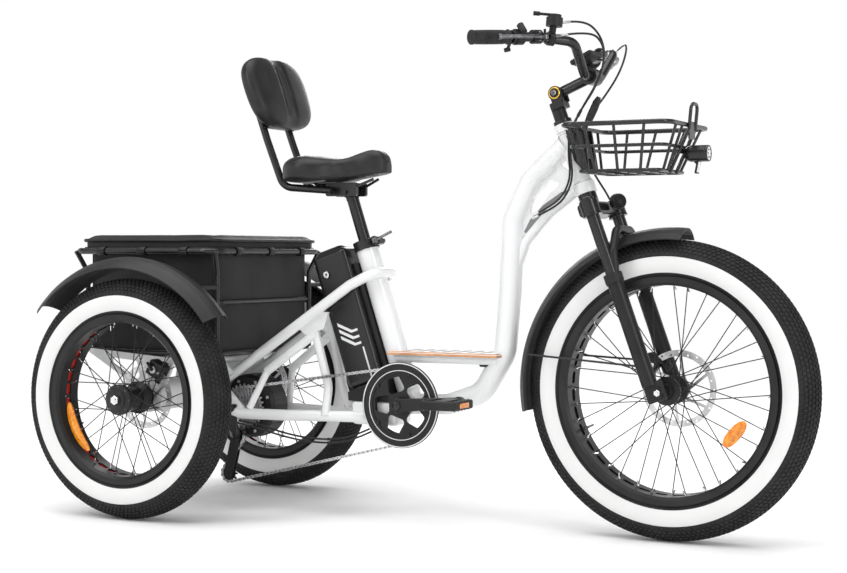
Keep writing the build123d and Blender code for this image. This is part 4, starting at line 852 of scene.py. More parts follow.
def oval_reflector(name, centre, radius, angle, size, side, body, bend=0.0, tilt=0.0):
    """An amber reflector clipped to the spokes, bent along the rim where bend is its arc in degrees."""
    build = Build()
    sides = 28
    spin = math.radians(tilt)
    long_side, short_side = size
    for scale, low, high in ((1.0, 0.0, 5.0), (0.5, 5.0, 6.0)):
        rings = []
        for lift, inset in ((low, 1.0), (high - 1.2, 1.0), (high, 0.86)):
            out = side + math.copysign(lift, side)
            for step in range(sides):
                turn = 2 * math.pi * step / sides
                round_end = math.copysign(abs(math.cos(turn)) ** 0.8, math.cos(turn))
                x = long_side / 2 * scale * round_end * inset
                y = short_side / 2 * scale * math.sin(turn) * inset
                if bend:
                    rings.append(around(centre, radius + y, angle + x / long_side * bend, out))
                else:
                    u = x * math.cos(spin) - y * math.sin(spin)
                    v = x * math.sin(spin) + y * math.cos(spin)
                    rings.append(around(centre, radius, angle, out) + Vector((u, 0, v)) * MM)
        faces = grid_faces(3, sides, close_columns=True)
        faces.append([2 * sides + step for step in range(sides)])
        faces.append(list(range(sides))[::-1])
        build.add(rings, faces)
    build.close(name, [AMBER], body, "bright_steel", 50)


oval_reflector("front_reflector_right", FRONT_AXLE, 181, -30.5, (76, 30), -15, "front_wheel", tilt=50)
for name, side in SIDES:
    wheel = f"rear_wheel_{name}"
    oval_reflector(f"rear_reflector_{name}", REAR_AXLE[name], 172, -152, (150, 25), side * 17, wheel, bend=46)


# ---------------- roller chains
PITCH = 12.7
CHAINRING_TEETH, COG_TEETH, MOTOR_TEETH, AXLE_TEETH, JOCKEY_TEETH = 46, 24, 16, 22, 11
CRANK_CHAIN_SIDE, AXLE_CHAIN_SIDE = -54, 70


def pitch_radius(teeth):
    """The radius on which a sprocket's chain rollers sit, in millimetres."""
    return PITCH / (2 * math.sin(math.pi / teeth))


def chain_line(wheels):
    """Evenly spaced points on a chain's path round (x, z, radius, turn) wheels, in millimetres."""
    runs = []
    for index, (cx, cz, radius, turn) in enumerate(wheels):
        nx, nz, next_radius, next_turn = wheels[(index + 1) % len(wheels)]
        gx, gz = nx - cx, nz - cz
        first, second = turn * radius, next_turn * next_radius
        reach = math.sqrt(gx * gx + gz * gz - (second - first) ** 2)
        heading = math.atan2(gz, gx) - math.atan2(second - first, reach)
        right = (math.sin(heading), -math.cos(heading))
        leave = (cx + first * right[0], cz + first * right[1])
        runs.append((leave, (nx + second * right[0], nz + second * right[1])))
    line = []
    for index, (leave, arrive) in enumerate(runs):
        steps = max(2, int(math.dist(leave, arrive) / 2))
        gx, gz = arrive[0] - leave[0], arrive[1] - leave[1]
        line += [(leave[0] + gx * n / steps, leave[1] + gz * n / steps) for n in range(steps)]
        cx, cz, radius, turn = wheels[(index + 1) % len(wheels)]
        after = runs[(index + 1) % len(runs)][0]
        start = math.atan2(arrive[1] - cz, arrive[0] - cx)
        end = math.atan2(after[1] - cz, after[0] - cx)
        sweep = (end - start) % (2 * math.pi) if turn > 0 else -((start - end) % (2 * math.pi))
        steps = max(2, int(abs(sweep) * radius / 2))
        angles = [start + sweep * n / steps for n in range(steps)]
        line += [(cx + radius * math.cos(angle), cz + radius * math.sin(angle)) for angle in angles]
    lengths = [0.0]
    closed = line + [line[0]]
    for before, after in zip(closed, closed[1:]):
        lengths.append(lengths[-1] + math.dist(before, after))
    count = 2 * round(lengths[-1] / PITCH / 2)
    pins = []
    index = 0
    for number in range(count):
        along = lengths[-1] * number / count
        while lengths[index + 1] < along:
            index += 1
        share = (along - lengths[index]) / (lengths[index + 1] - lengths[index])
        (ax, az), (bx, bz) = closed[index], closed[index + 1]
        pins.append((ax + (bx - ax) * share, az + (bz - az) * share))
    return pins


def make_chain(name, wheels, side, cad_node):
    """A roller chain: waisted plates in pairs, alternately inner and outer, on rollers and pins."""
    pins = chain_line(wheels)
    build = Build()
    for number, (x, z) in enumerate(pins):
        nx, nz = pins[(number + 1) % len(pins)]
        heading = Vector((nx - x, 0, nz - z)).normalized()
        rise = Vector((-heading.z, 0, heading.x))
        middle = Vector(((x + nx) / 2, side, (z + nz) / 2)) * MM
        outer = number % 2
        shape = []
        for step in range(18):
            turn = 2 * math.pi * step / 18
            along = math.cos(turn) * (PITCH / 2 + 3.6)
            width = 3.9 if abs(along) > 4.5 else 2.7
            shape.append((along, math.copysign(min(width, abs(math.sin(turn)) * 9), math.sin(turn))))
        for row in (-1, 1):
            plate_side = row * (2.9 if outer else 1.9)
            add_prism(build, shape, 0.9, middle + Vector((0, plate_side, 0)) * MM, heading, rise, 0)
        pin = Vector((x, side, z)) * MM
        for half_length, radius in ((3.9, 1.8), (1.4, 3.6)):
            half = Vector((0, half_length * MM, 0))
            add_tube(build, [pin - half, pin + half], radius * MM, 8, 1)
    made = build.close(name, [STEEL, DARK_STEEL], "frame", "bright_steel", 30)
    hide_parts(cad_node)


UPPER_JOCKEY, LOWER_JOCKEY = spot(131, 0, 185.5), spot(107, 0, 87)


def wheel_of(centre, teeth, turn=1):
    """One wheel of a chain's path, in millimetres."""
    return (centre.x / MM, centre.z / MM, pitch_radius(teeth), turn)


jockeys = [wheel_of(UPPER_JOCKEY, JOCKEY_TEETH, -1), wheel_of(LOWER_JOCKEY, JOCKEY_TEETH)]
crank_wheels = [wheel_of(BB, CHAINRING_TEETH), wheel_of(MOTOR, COG_TEETH)] + jockeys
axle_wheels = [wheel_of(MOTOR, MOTOR_TEETH), wheel_of(REAR_AXLE["left"], AXLE_TEETH)]
make_chain("crank_chain_links", crank_wheels, CRANK_CHAIN_SIDE, "chain")
make_chain("axle_chain_links", axle_wheels, AXLE_CHAIN_SIDE, "axle_chain")


# ---------------- soft goods
def swell(made, voxel, pressure, cap):
    """Inflates a closed piece a little with a cloth simulation, no further than cap, then smooths it."""
    mesh = made.data
    bpy.context.view_layer.objects.active = made
    made.select_set(True)
    mesh.remesh_voxel_size = voxel
    bpy.ops.object.voxel_remesh()
    rest = [vertex.co.copy() for vertex in mesh.vertices]
    cloth = made.modifiers.new("cloth", "CLOTH")
    cloth.settings.use_pressure = True
    cloth.settings.uniform_pressure_force = pressure
    cloth.settings.effector_weights.gravity = 0
    cloth.settings.quality = 5
    scene = bpy.context.scene
    for number in range(1, 21):
        scene.frame_set(number)
    evaluated = made.evaluated_get(bpy.context.evaluated_depsgraph_get())
    moved = [vertex.co.copy() for vertex in evaluated.data.vertices]
    made.modifiers.remove(cloth)
    for vertex, start, end in zip(mesh.vertices, rest, moved):
        step = end - start
        if step.length > cap:
            step = step.normalized() * cap
        vertex.co = start + step
    scene.frame_set(1)
    made.select_set(False)
    mesh.shade_smooth()


# saddle: (station ahead, half width, top, underside, how far the middle channel sinks)
SADDLE_STATIONS = [
    (281, 26, 874, 845, 0),
    (285, 72, 893, 841, 1),
    (297, 95, 902, 839, 3),
    (322, 113, 907, 838, 5),
    (352, 120, 908, 838, 6),
    (380, 114, 905, 839, 6),
    (404, 99, 901, 841, 5),
    (428, 75, 899, 843, 4),
    (450, 55, 903, 846, 3),
    (478, 44, 913, 849, 2),
    (504, 39, 920, 853, 1),
    (526, 34, 917, 856, 0),
    (542, 25, 906, 859, 0),
    (551, 12, 888, 861, 0),
]


def make_saddle():
    """The saddle: wide padded rear, a dip in the middle and a raised nose, with two seams each side."""
    rows, columns = 80, 72
    first, last = SADDLE_STATIONS[0][0], SADDLE_STATIONS[-1][0]
    points = []
    for row in range(rows):
        share = row / (rows - 1)
        ahead = first + (last - first) * (0.5 - 0.5 * math.cos(math.pi * share))
        half, top, under, channel = between(ahead, SADDLE_STATIONS)
        middle = under + (top - under) * 0.42
        for column in range(columns):
            turn = 2 * math.pi * column / columns
            c, s = math.cos(turn), math.sin(turn)
            out = math.copysign(abs(c) ** 0.6, c)
            up = math.copysign(abs(s) ** (0.75 if s > 0 else 0.32), s)
            height = (top - middle) * up if up > 0 else (middle - under) * up
            sink = channel * math.exp(-((out * half) / 16) ** 2) if up > 0 else 0
            crest = 0.0
            if up > 0 and 300 < ahead < 420:
                crest = 2 * math.sin(math.pi * (ahead - 300) / 120) * out**2
            seam = 1.6 * math.exp(-((ahead - 418 - 14 * up) / 3.5) ** 2) * (1 if up > -0.5 else 0)
            wave = 0.14 * math.sin(ahead / 6) if ahead < 385 else 0.0
            skirt = 1.5 * math.exp(-((up + 0.2 + wave) / 0.1) ** 2)
            points.append(spot(ahead, out * (half - seam - skirt), middle + height - sink + crest))
    build = Build()
    faces = grid_faces(rows, columns, close_columns=True)
    faces.append(list(range(columns)))
    faces.append([len(points) - 1 - step for step in range(columns)])
    build.add(points, faces)
    made = build.close("saddle_cover", [LEATHER], "seat", "saddle_leather", 60)
    smooth = made.modifiers.new("subdivision", "SUBSURF")
    smooth.levels = smooth.render_levels = 1
    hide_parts("saddle")


make_saddle()

BACK_CENTRE = spot(221, 0, 1072)
BACK_TILT = math.radians(20)
BACK_OUT = Vector((math.cos(BACK_TILT), 0, math.sin(BACK_TILT)))
BACK_UP = Vector((-math.sin(BACK_TILT), 0, math.cos(BACK_TILT)))
PAD_HALF_WIDTH, PAD_HALF_HEIGHT, PAD_HALF_DEPTH = 130.0, 97.0, 30.0
PAD_CORNER = 0.62
PAD_CHANNELS = (-20, 20)


def make_backrest():
    """The backrest pad: a crowned rounded form with two sewn channels down its front."""
    rings, spokes = 36, 120
    front, rear = [], []
    for ring in range(rings + 1):
        reach = math.sin(math.pi / 2 * ring / rings)
        for step in range(spokes):
            turn = 2 * math.pi * step / spokes
            c, s = math.cos(turn), math.sin(turn)
            x = math.copysign(abs(c) ** PAD_CORNER, c) * reach
            y = math.copysign(abs(s) ** PAD_CORNER, s) * reach
            squeeze = 1 - 0.07 * max(0.0, -y)
            wall = max(0.0, 1 - reach**9) ** 0.5
            crown = 1 - reach**2.4
            lobe = 1 - 0.03 * math.exp(-((x * PAD_HALF_WIDTH) / 30) ** 2) * max(0.0, y)
            across, up = x * PAD_HALF_WIDTH * squeeze, y * PAD_HALF_HEIGHT * lobe
            groove = sum(math.exp(-((across - channel) / 3.4) ** 2) for channel in PAD_CHANNELS)
            valley = math.exp(-(across / 19) ** 4)
            sink = (3.4 * groove + 3.0 * valley) * min(1.0, wall * 1.2)
            lift = PAD_HALF_DEPTH * (0.68 * wall + 0.32 * crown) - sink
            low = -PAD_HALF_DEPTH * max(0.0, 1 - reach**14) ** 0.5 * 0.9
            flat = Vector((0, across, 0)) + BACK_UP * up
            front.append(BACK_CENTRE + (flat + BACK_OUT * lift) * MM)
            rear.append(BACK_CENTRE + (flat + BACK_OUT * low) * MM)
    build = Build()
    faces = grid_faces(rings + 1, spokes, close_columns=True)
    build.add(front, faces)
    build.add(rear, [face[::-1] for face in faces])
    made = build.finish("backrest_cover", [LEATHER], "seat", "saddle_leather", 70)
    fix_normals(made, 0.0002)
    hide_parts("backrest_pad")


make_backrest()

bag_low, bag_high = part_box("cargo_bag")
lid_low, lid_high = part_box("bag_lid")
CORNER_STEPS, PANEL_STEPS, BAG_LEVELS = 4, 26, 22
BAG_SPREAD, BAG_RISE, BAG_CORNER, BAG_THICKNESS = 8 * MM, 14 * MM, 20 * MM, 5 * MM


def box_ring(low, high, up, swell_out):
    """One level loop of the bag: rounded corners, and panels that bow out between them."""
    loop = []
    half, middle = (high - low) / 2, (high + low) / 2

    def corner_point(sign_x, sign_y, degrees):
        angle = math.radians(degrees)
        x = middle.x + sign_x * (half.x - BAG_CORNER) + math.cos(angle) * BAG_CORNER
        y = middle.y + sign_y * (half.y - BAG_CORNER) + math.sin(angle) * BAG_CORNER
        return Vector((x, y, up))

    signs = ((1, 1), (-1, 1), (-1, -1), (1, -1))
    for quarter, sign in enumerate(signs):
        for step in range(CORNER_STEPS + 1):
            loop.append(corner_point(*sign, 90 * (quarter + step / CORNER_STEPS)))
        start = loop[-1]
        angle = 90 * (quarter + 1)
        end = corner_point(*signs[(quarter + 1) % 4], angle)
        out = Vector((math.cos(math.radians(angle)), math.sin(math.radians(angle)), 0))
        for step in range(1, PANEL_STEPS):
            share = step / PANEL_STEPS
            pull = 4 * share * (1 - share)
            ripple = noise.noise(Vector((share * 5 + quarter * 9, up * 14, 1.0))) * 2.4 * MM * pull
            loop.append(start.lerp(end, share) + out * (swell_out * pull**0.6 + ripple))
    return loop


def make_bag():
    """The cargo bag: a fabric tub whose panels bow a little between bound edges, open at the top."""
    loops = []
    spread = Vector((BAG_SPREAD, BAG_SPREAD, 0))
    for level in range(BAG_LEVELS + 1):
        share = level / BAG_LEVELS
        up = bag_low.z + (bag_high.z + BAG_RISE - bag_low.z) * share
        seam = math.exp(-((share - 0.5) / 0.035) ** 2)
        bow = 3.2 * MM * 4 * share * (1 - share) - 1.5 * MM * seam
        loops.append(box_ring(bag_low - spread, bag_high + spread, up, bow))
    columns = len(loops[0])
    inner = []
    for loop in loops[::-1]:
        middle = sum(loop, Vector()) / columns
        floor_rise = Vector((0, 0, BAG_THICKNESS if loop is loops[0] else 0))
        for point in loop:
            away = Vector((point.x - middle.x, point.y - middle.y, 0))
            inner.append(point - away.normalized() * BAG_THICKNESS * 1.2 + floor_rise)
    build = Build()
    skin = grid_faces(BAG_LEVELS + 1, columns, close_columns=True)
    build.add([point for loop in loops for point in loop], skin)
    build.add(inner, skin)
    build.add(loops[-1] + inner[:columns], grid_faces(2, columns, close_columns=True))
    build.add(loops[0], [list(range(columns))[::-1]])
    build.add(inner[-columns:], [list(range(columns))])
    made = build.finish("cargo_bag_fabric", [BAG_FABRIC], "frame", "bag_fabric", 50)
    fix_normals(made, 0.0001)
    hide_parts("cargo_bag")
    edges = Build()
    for loop, lift in ((loops[0], 2 * MM), (loops[-1], -2 * MM)):
        line = [point + Vector((0, 0, lift)) for point in loop + loop[:1]]
        add_tube(edges, line, 3.2 * MM, 8, caps=False)
    for quarter in range(4):
        index = quarter * (CORNER_STEPS + PANEL_STEPS) + CORNER_STEPS // 2
        add_tube(edges, [loop[index] for loop in loops], 2.6 * MM, 8)
    edges.close("cargo_bag_binding", [BINDING], "frame", "bag_fabric", 60)


make_bag()


def make_lid():
    """The padded lid: a quilted panel with a thick bound rim."""
    across_count, ahead_count = 60, 54
    width, length = lid_high.y - lid_low.y, lid_high.x - lid_low.x
    middle = (lid_low + lid_high) / 2
    base = lid_low.z - 4 * MM
    upper, lower = [], []
    for row in range(ahead_count + 1):
        u = 2 * row / ahead_count - 1
        for column in range(across_count + 1):
            v = 2 * column / across_count - 1
            cut_x = 0.3 * max(0.0, abs(v) - 0.9) * abs(u) ** 9
            cut_y = 0.3 * max(0.0, abs(u) - 0.9) * abs(v) ** 9
            x = middle.x + 5 * MM + u * (length / 2) * (1 - cut_x)
            y = middle.y + v * (width / 2 + 4 * MM) * (1 - cut_y)
            edge = max(abs(u), abs(v))
            rim = eased((edge - 0.8) / 0.12) * (1 - eased((edge - 0.93) / 0.07) * 0.55)
            sag = 3.15 * MM * (1 - u * u) * (1 - v * v)
            ripple = noise.noise(Vector((u * 2.4, v * 2.6, 3.3))) * 1.6 * MM
            upper.append(Vector((x, y, base + 22 * MM + rim * 10 * MM - sag + ripple * (1 - rim))))
            lower.append(Vector((x, y, base - 1 * MM + rim * 0.5 * MM)))
    faces = grid_faces(ahead_count + 1, across_count + 1)
    build = Build()
    build.add(upper, faces)
    build.add(lower, [face[::-1] for face in faces])
    wide = across_count + 1
    border = list(range(wide))
    border += [row * wide + across_count for row in range(1, ahead_count + 1)]
    border += [ahead_count * wide + column for column in range(across_count - 1, -1, -1)]
    border += [row * wide for row in range(ahead_count - 1, 0, -1)]
    rim_points = [sheet[index] for sheet in (upper, lower) for index in border]
    build.add(rim_points, grid_faces(2, len(border), close_columns=True))
    made = build.finish("bag_lid_cover", [BAG_FABRIC], "lid", "bag_fabric", 60)
    fix_normals(made, 0.0001)
    swell(made, 5 * MM, 4.0, 4 * MM)
    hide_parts("bag_lid")
    rim = Build()
    for sheet, lift, radius, sides in ((upper, -5 * MM, 4.6 * MM, 10), (lower, 3 * MM, 2.6 * MM, 8)):
        line = [sheet[index] + Vector((0, 0, lift)) for index in border + border[:1]]
        add_tube(rim, line, radius, sides, caps=False)
    rim.close("bag_lid_binding", [BINDING], "lid", "bag_fabric", 60)


make_lid()


STRAP_R, STRAP_HALF_WIDTH, STRAP_THICKNESS = 11.0, 12.0, 1.4 * MM


def strap_loop(name, place, along):
    """A fabric loop sewn round the rail, holding the bag."""
    along = Vector(along)
    out = along.cross(Vector((0, 0, 1)))
    points = []
    for step in range(17):
        turn = 2 * math.pi * step / 16
        around_rail = out * math.cos(turn) + Vector((0, 0, math.sin(turn)))
        for edge, swollen in ((-1, 0), (-0.9, 0.5), (0.9, 0.5), (1, 0)):
            points.append(place + (along * edge * STRAP_HALF_WIDTH + around_rail * (STRAP_R + swollen)) * MM)
    build = Build()
    build.add(points, grid_faces(17, 4))
    made = build.finish(name, [BINDING], "frame", "bag_fabric", 60)
    made.modifiers.new("thickness", "SOLIDIFY").thickness = STRAP_THICKNESS


RAIL_TOP, BASKET_SIDE, BASKET_REAR, BASKET_FRONT = 664.0, 252.0, -240.0, 196.0
for number, ahead in enumerate((-150, -22, 106)):
    for name, side in SIDES:
        strap_loop(f"bag_loop_{name}_{number + 1}", spot(ahead, side * BASKET_SIDE, RAIL_TOP), (1, 0, 0))
for number, across in enumerate((-150, 0, 150)):
    strap_loop(f"bag_loop_front_{number + 1}", spot(BASKET_FRONT, across, RAIL_TOP), (0, 1, 0))
    strap_loop(f"bag_loop_back_{number + 1}", spot(BASKET_REAR, across, RAIL_TOP), (0, 1, 0))

# ---------------- grips, pedals and cockpit details
GRIP_FROM, GRIP_LENGTH, GRIP_STEPS = (GRIP_END - GRIP_START).length - 96, 100, 72
for name, side in SIDES:
    build = Build()
    core, radii = [], []
    for step in range(GRIP_STEPS + 1):
        share = step / GRIP_STEPS
        core.append(grip(side, GRIP_FROM + GRIP_LENGTH * share, 0, 0))
        rib = 0.7 if 0.12 < share < 0.9 and step // 2 % 2 else 0.0
        flange = 2.4 * (1 - eased(share / 0.06)) + 1.6 * eased((share - 0.92) / 0.04)
        radii.append((15.0 + rib + flange + 0.6 * math.sin(math.pi * share)) * MM)
    radii[-1] *= 0.8
    add_tube(build, core, radii, 28)
    made = build.close(f"grip_{name}", [GRIP_RUBBER], "cockpit", "grip_rubber", 35)
    if name == "left":
        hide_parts("grips")

build = Build()
SCREEN_UP = Vector((-0.436, 0, 0.9))
SCREEN_AHEAD = Vector((0.9, 0, 0.436))
screen_middle = spot(1078, 0, 1118) + SCREEN_UP * 6.3 * MM
add_prism(build, chamfered(25, 32, 0.85, 0.85), 1.0, screen_middle, SCREEN_AHEAD, (0, 1, 0), 0, 0.3)
for across in (-14, 0, 14):
    centre = screen_middle + (SCREEN_AHEAD * -20 + Vector((0, across, 0)) + SCREEN_UP * 0.8) * MM
    add_prism(build, oblong(3, 4), 1.2, centre, SCREEN_AHEAD, (0, 1, 0), 1, 0.4)
build.close("display_screen", [SCREEN, BLACK_PLASTIC], "cockpit", "black_gloss", 40)

PIVOT = joint_spot("stem_angle")
build = Build()
for side in (1, -1):
    place = PIVOT + Vector((0, side * 22.4 * MM, 0))
    ring = [(9.5, 0), (14.2, 0), (14.2, 2.2), (13.4, 3), (9.2, 3)]
    add_lathe(build, place, ring, (0, side, 0), 40, closed=True)
    add_bolt(build, PIVOT + Vector((0, side * 27 * MM, 0)), (0, side, 0), 7.5, 4, 1)
build.close("stem_ring_and_bolts", [GOLD, DARK_STEEL], "fork_upper", "bright_steel", 35)

build = Build()
for name, side in SIDES:
    for up in (1, -1):
        axis = (grip(side, 3, 0, up) - grip(side, 3, 0, 0)).normalized()
        add_bolt(build, grip(side, 3, 17, up * 10) - axis * 3 * MM, axis, 3.2, 4, hexed=False)
    add_tube(build, [grip(side, -40, 35, -2), grip(side, -26, 34, -2)], 4.2 * MM)
build.close("perch_bolts", [DARK_STEEL], "cockpit", "black_metal", 35)

PEDAL_CORE = [(5.5, 0), (9, 1), (9, 40), (11, 42), (11, 58), (9, 60), (9, 94), (5.5, 95)]
PEDALS = {"right": (joint_spot("right_pedal_turn"), -1), "left": (joint_spot("left_pedal_turn"), 1)}
for name, (eye, side) in PEDALS.items():
    middle = Vector((eye.x, side * 148 * MM, eye.z))
    build = Build()
    for ahead in (-1, 1):
        face = middle + Vector((ahead * 48.2 * MM, 0, 0))
        add_prism(build, chamfered(24, 6, 0.9, 0.6), 2.4, face, (0, ahead, 0), (0, 0, 1), 0, 0.6)
    build.close(f"pedal_reflectors_{name}", [AMBER], f"{name}_pedal", "bright_steel", 40)
    build = Build()
    for ahead, up in oblong(1, 1):
        for across in (-36, -18, 0, 18, 36):
            foot = middle + Vector((ahead * 41, across, up * 10.6)) * MM
            add_tube(build, [foot, foot + Vector((0, 0, up * 2.6 * MM))], [2.2 * MM, 1.4 * MM], 8)
    add_lathe(build, middle - Vector((0, side * 50 * MM, 0)), PEDAL_CORE, (0, side, 0), 24, 1)
    build.close(f"pedal_pins_{name}", [DARK_STEEL, BLACK_PLASTIC], f"{name}_pedal", "black_plastic", 40)

# ---------------- wheel centres, brakes and drive details
build = Build()
for side in (1, -1):
    place = Vector((FRONT_AXLE.x, side * FRONT_NUT_SIDE * MM, FRONT_AXLE.z))
    add_bolt(build, place, (0, side, 0), 8, 5)
    add_tube(build, [place, place + Vector((0, side * 8 * MM, 0))], 4.4 * MM, 14)
build.close("front_axle_nuts", [CHROME], "fork_lower", "bright_steel", 35)

for name, side in SIDES:
    build = Build()
    axle = REAR_AXLE[name]
    place = Vector((axle.x, side * REAR_NUT_SIDE * MM, axle.z))
    add_bolt(build, place, (0, side, 0), 12, 6, 0)
    add_tube(build, [place, place + Vector((0, side * 8.6 * MM, 0))], 6.2 * MM, 16, 0)
    for number in range(8):
        seat_point = around(axle, 31, 45 * number, side * 40)
        add_bolt(build, seat_point, (0, side, 0), 3.0, 4.4, 1, False)
    build.close(f"rear_axle_nut_{name}", [CHROME, DARK_STEEL], f"rear_wheel_{name}", "bright_steel", 35)

CALIPER_ANGLE = 62
build = Build()
for name, side in SIDES:
    middle = around(Vector((REAR_X * MM, side * 268 * MM, REAR_AXLE[name].z)), 74, CALIPER_ANGLE)
    outward = Vector((math.cos(math.radians(CALIPER_ANGLE)), 0, math.sin(math.radians(CALIPER_ANGLE))))
    across = outward.cross(Vector((0, 1, 0)))
    inner = middle + Vector((0, -side * 17 * MM, 0)) + outward * 4 * MM
    add_lathe(build, inner, [(0.1, 5), (9, 5), (11, 3), (11, 0), (9, 0)], (0, -side, 0), 28, 0)
    outer = middle + Vector((0, side * 17 * MM, 0)) + outward * 4 * MM
    add_lathe(build, outer, [(0.1, 6), (8, 6), (9.5, 4), (9.5, 0), (9, 0)], (0, side, 0), 28, 0)
    for sign in (-1, 1):
        add_bolt(build, outer + across * sign * 16 * MM, (0, side, 0), 3.6, 4, 0)
    arm_start = outer + Vector((0, side * 7 * MM, 0))
    add_tube(build, [arm_start, arm_start + (across * 22 + outward * 10) * MM], [5 * MM, 3.4 * MM], 12, 1)
build.close("rear_caliper_fittings", [STEEL, BLACK_METAL], "frame", "bright_steel", 35)

build = Build()
front_middle = around(FRONT_AXLE, 84, 142, 58)
for side in (1, -1):
    place = front_middle + Vector((0, side * 15 * MM, 0))
    add_lathe(build, place, [(0.1, 5), (8, 5), (10, 3), (10, 0), (8, 0)], (0, side, 0), 28)
build.close("front_caliper_fittings", [STEEL], "fork_lower", "bright_steel", 35)

build = Build()
CRANK_FACE, CRANK_BOLT_CIRCLE, RING_FACE = -84.5, 77, -64
crank_face = Vector((BB.x, CRANK_FACE * MM, BB.z))
cap = [(0.1, 4.5), (7, 4.6), (8, 4), (12, 3.6), (12.6, 2.6), (12.6, 0), (10, 0)]
add_lathe(build, crank_face, cap, (0, -1, 0), 32)
for number in range(5):
    add_bolt(build, around(BB, CRANK_BOLT_CIRCLE, 72 * number, RING_FACE), (0, -1, 0), 4.6, 2.4, hexed=False)
for outer, inner in ((104.4, 101.8), (86.4, 84.6)):
    band = [(outer, 64.6), (outer, 65.4), (inner, 65.4), (inner, 64.6)]
    add_lathe(build, BB, band, (0, -1, 0), 96, 1, closed=True)
build.close("chainring_trim", [BLACK_GLOSS, PALE_STRIPE], "crankset", "black_metal", 35)

MOTOR_BOLT_CIRCLE, MOTOR_FIN_R = 68, 82.2
build = Build()
for number in range(8):
    for side, face in ((-1, -36.4), (1, 37)):
        place = around(MOTOR, MOTOR_BOLT_CIRCLE, 45 * number + 22, face)
        add_bolt(build, place, (0, side, 0), 4.2, 3.6, hexed=False)
for number in range(24):
    angle = 15 * number
    fin = [around(MOTOR, MOTOR_FIN_R, angle - 2.2, end) for end in (-26, 28)]
    add_tube(build, fin, 1.3 * MM, 6, 1)
build.close("motor_fittings", [STEEL, BLACK_METAL], "motor", "black_metal", 35)

# ---------------- battery, lamp, horn and frame details
SEAT_LEAN = math.radians(90 - 71.4)
SEAT_AHEAD = Vector((math.cos(SEAT_LEAN), 0, math.sin(SEAT_LEAN)))
SEAT_UP = Vector((-math.sin(SEAT_LEAN), 0, math.cos(SEAT_LEAN)))


def seat(ahead, side, up):
    """A point measured from the bottom bracket, along and across the seat tube."""
    return BB + (SEAT_AHEAD * ahead + SEAT_UP * up + Vector((0, side, 0))) * MM


STRIPE = [(-26, 0), (6, -26), (26, -26), (26, -20), (10, -20), (-26, 9)]
build = Build()
for side in (1, -1):
    outline = [(x * -side, y) for x, y in STRIPE]
    for rank in range(3):
        place = seat(-94, side * 42.1, 205 + rank * 17)
        add_prism(build, outline[::-side], 0.5, place, SEAT_AHEAD, SEAT_UP)
    add_prism(build, oblong(2.2, 60), 0.5, seat(-66, side * 42.1, 110), SEAT_AHEAD, SEAT_UP)
lock = seat(-110, -46, 372)
add_lathe(build, lock, [(2.2, 0.6), (6.6, 1.2), (8.6, 0.8), (8.8, 0), (8.6, -0.6)], (0, -1, 0), 28, 1)
add_prism(build, oblong(0.6, 4), 0.8, lock - Vector((0, 1.2 * MM, 0)), SEAT_AHEAD, SEAT_UP, 2)
build.close("battery_trim", [PALE_STRIPE, CHROME, BLACK_PLASTIC], "battery_pack", "black_gloss", 35)

lamp_centre = Vector((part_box("headlight")[1].x, 0, 889 * MM))
lens = [(0.1, 3.4), (8, 3.1), (15.4, 2.2), (16, 0.6), (15.6, -1)]
bezel = [(15.8, -1), (15.8, 2.8), (18.2, 2.8), (18.9, 1.4), (18.9, -3), (17.5, -4)]
build = Build()
for look, profile in enumerate((lens, bezel)):
    add_lathe(build, lamp_centre - Vector((3 * MM, 0, 0)), profile, (1, 0, 0), 40, look)
for number in range(6):
    angle = math.radians(60 * number)
    place = lamp_centre + Vector((-0.6, 9.6 * math.cos(angle), 9.6 * math.sin(angle))) * MM
    add_ball(build, place, (1.6, 2.6, 2.6), 1, 6, 10)
build.close("headlight_lens", [LENS, BLACK_GLOSS], "frame", "black_gloss", 40)

build = Build()
mirror_place = spot(1352, 0, 858)
back_plate = [(-10, -15), (10, -15), (12, -12), (12, 12), (10, 15), (-10, 15), (-12, 12), (-12, -12)]
add_prism(build, back_plate, 4, mirror_place, (0, 1, 0), (0.2, 0, 1), 0, 0.8)
mirror_face = mirror_place + Vector((2.6 * MM, 0, 0))
add_prism(build, oblong(9, 12), 1.2, mirror_face, (0, 1, 0), (0.2, 0, 1), 1, 0.3)
add_tube(build, [spot(1346, 0, 872), spot(1350, 0, 868)], 4 * MM)
build.close("front_white_reflector", [BLACK_PLASTIC, LENS], "frame", "black_plastic", 40)

HEAD_LEAN = math.radians(20)
HEAD_AHEAD = Vector((math.cos(HEAD_LEAN), 0, math.sin(HEAD_LEAN)))
HEAD_UP = Vector((-math.sin(HEAD_LEAN), 0, math.cos(HEAD_LEAN)))
HEAD_FOOT = joint_spot("steering")
LEG_AHEAD, LEG_SIDE = 27, 82


def head(ahead, side, up):
    """A point measured from the bottom of the head tube, along and across the steering axis."""
    return HEAD_FOOT + (HEAD_AHEAD * ahead + HEAD_UP * up + Vector((0, side, 0))) * MM


build = Build()
horn = head(58, 28, -40)
HORN_FACE = [(0.1, 9), (5, 9.4), (8, 7), (11, 9), (13, 7), (16, 9), (18, 6.5)]
HORN_SHELL = [(19, 3), (19, -9), (15, -14), (6, -15), (0.1, -15)]
add_lathe(build, horn, HORN_FACE + HORN_SHELL, (0.75, -0.66, 0), 40)
add_tube(build, [horn, head(40, 20, -36)], 4 * MM)
build.close("horn", [BLACK_PLASTIC], "fork_upper", "black_plastic", 35)

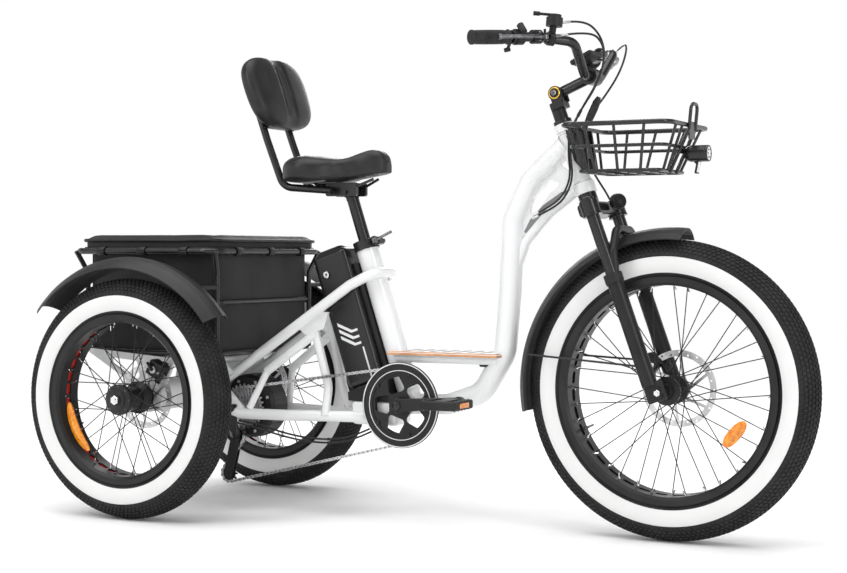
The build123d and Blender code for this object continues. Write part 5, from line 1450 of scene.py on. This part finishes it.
build = Build()
for side in (1, -1):
    cap_place = head(LEG_AHEAD, side * LEG_SIDE, -26)
    add_lathe(build, cap_place, [(0.1, 3.6), (9, 3.6), (13, 2.4), (14.6, 0), (14, -1)], HEAD_UP, 36)
    add_lathe(build, cap_place, [(4, 3.7), (4, 5.2), (8.6, 5.2), (9.4, 4.4), (9.4, 3.4)], HEAD_UP, 12, 1)
    collar = [(15.2, 0), (22.6, 0), (23, 2), (22.4, 5)]
    add_lathe(build, head(LEG_AHEAD, side * LEG_SIDE, -67), collar, HEAD_UP, 40)
build.close("fork_caps", [BLACK_GLOSS, DARK_STEEL], "fork_upper", "black_metal", 35)

build = Build()
for side in (1, -1):
    wiper = [(16, -207.5), (21.4, -208), (22, -211), (22, -226), (21, -229), (19, -230)]
    add_lathe(build, head(LEG_AHEAD, side * LEG_SIDE, 0), wiper, HEAD_UP, 40)
build.close("fork_wipers", [BLACK_PLASTIC], "fork_lower", "black_metal", 35)

# Painted shade: a grey sheet on each face of the gusset, where its slot shows the shaded hollow inside.
build = Build()
outline = [(-58, -48), (-42, -18), (-8, 16), (38, 46), (60, 52), (66, 40), (30, 18), (-22, -22), (-46, -56)]
for side in (1, -1):
    add_prism(build, outline, 0.8, spot(980, side * 4.8, 760), (1, 0, 0), (0, 0, 1))
build.close("gusset_slot_shade", [SLOT_SHADE_GREY], "frame", "black_metal", 35)

step_low, step_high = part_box("step_plate")
build = Build()
step_middle = (step_low + step_high) / 2
for number in range(-3, 4):
    strip = Vector((step_middle.x + number * 34 * MM, step_middle.y, step_high.z + 0.3 * MM))
    add_prism(build, oblong(6, 38), 1.0, strip, (1, 0, 0), (0, 1, 0), 0, 0.3)
build.close("step_inlay", [GRIP_TAPE], "frame", "white_paint", 35)
plate_mesh = frame["nodes"]["step_plate"].data
plate_mesh.materials.append(WOOD)
for face in plate_mesh.polygons:
    face.material_index = 1 if abs(face.normal.z) < 0.6 else 0

build = Build()
add_ball(build, spot(830, -14, 392), (15, 11, 8), 0, 10, 20)
add_tube(build, [spot(812, -14, 392), spot(848, -14, 392)], 7 * MM, 16, 0)
build.close("step_plug", [BLACK_PLASTIC], "frame", "black_plastic", 50)


def weld(build, centre, axis, radius, count=40):
    """A rippled weld bead round a tube joint; radius in millimetres."""
    axis = Vector(axis).normalized()
    first = axis.orthogonal().normalized()
    second = axis.cross(first)
    ring, radii = [], []
    for step in range(count * 3 + 1):
        turn = 2 * math.pi * step / (count * 3)
        ring.append(centre + (first * math.cos(turn) + second * math.sin(turn)) * radius * MM)
        radii.append((2.0 + 0.35 * math.cos(turn * count)) * MM)
    add_tube(build, ring, radii, 8, caps=False)


build = Build()
weld(build, seat(0, 0, 34), SEAT_UP, 28.4)
weld(build, BB + Vector((0, 27 * MM, 0)), (0, 1, 0), 25.2)
weld(build, BB + Vector((0, -27 * MM, 0)), (0, 1, 0), 25.2)
weld(build, head(0, 0, 30), HEAD_UP, 21.6)
weld(build, head(0, 0, 152), HEAD_UP, 21.6)
for side in (1, -1):
    weld(build, spot(104, side * 92, 338), (0, 1, 0), 15.2, 20)
build.close("weld_beads", [WHITE_PAINT], "frame", "white_paint", 60)
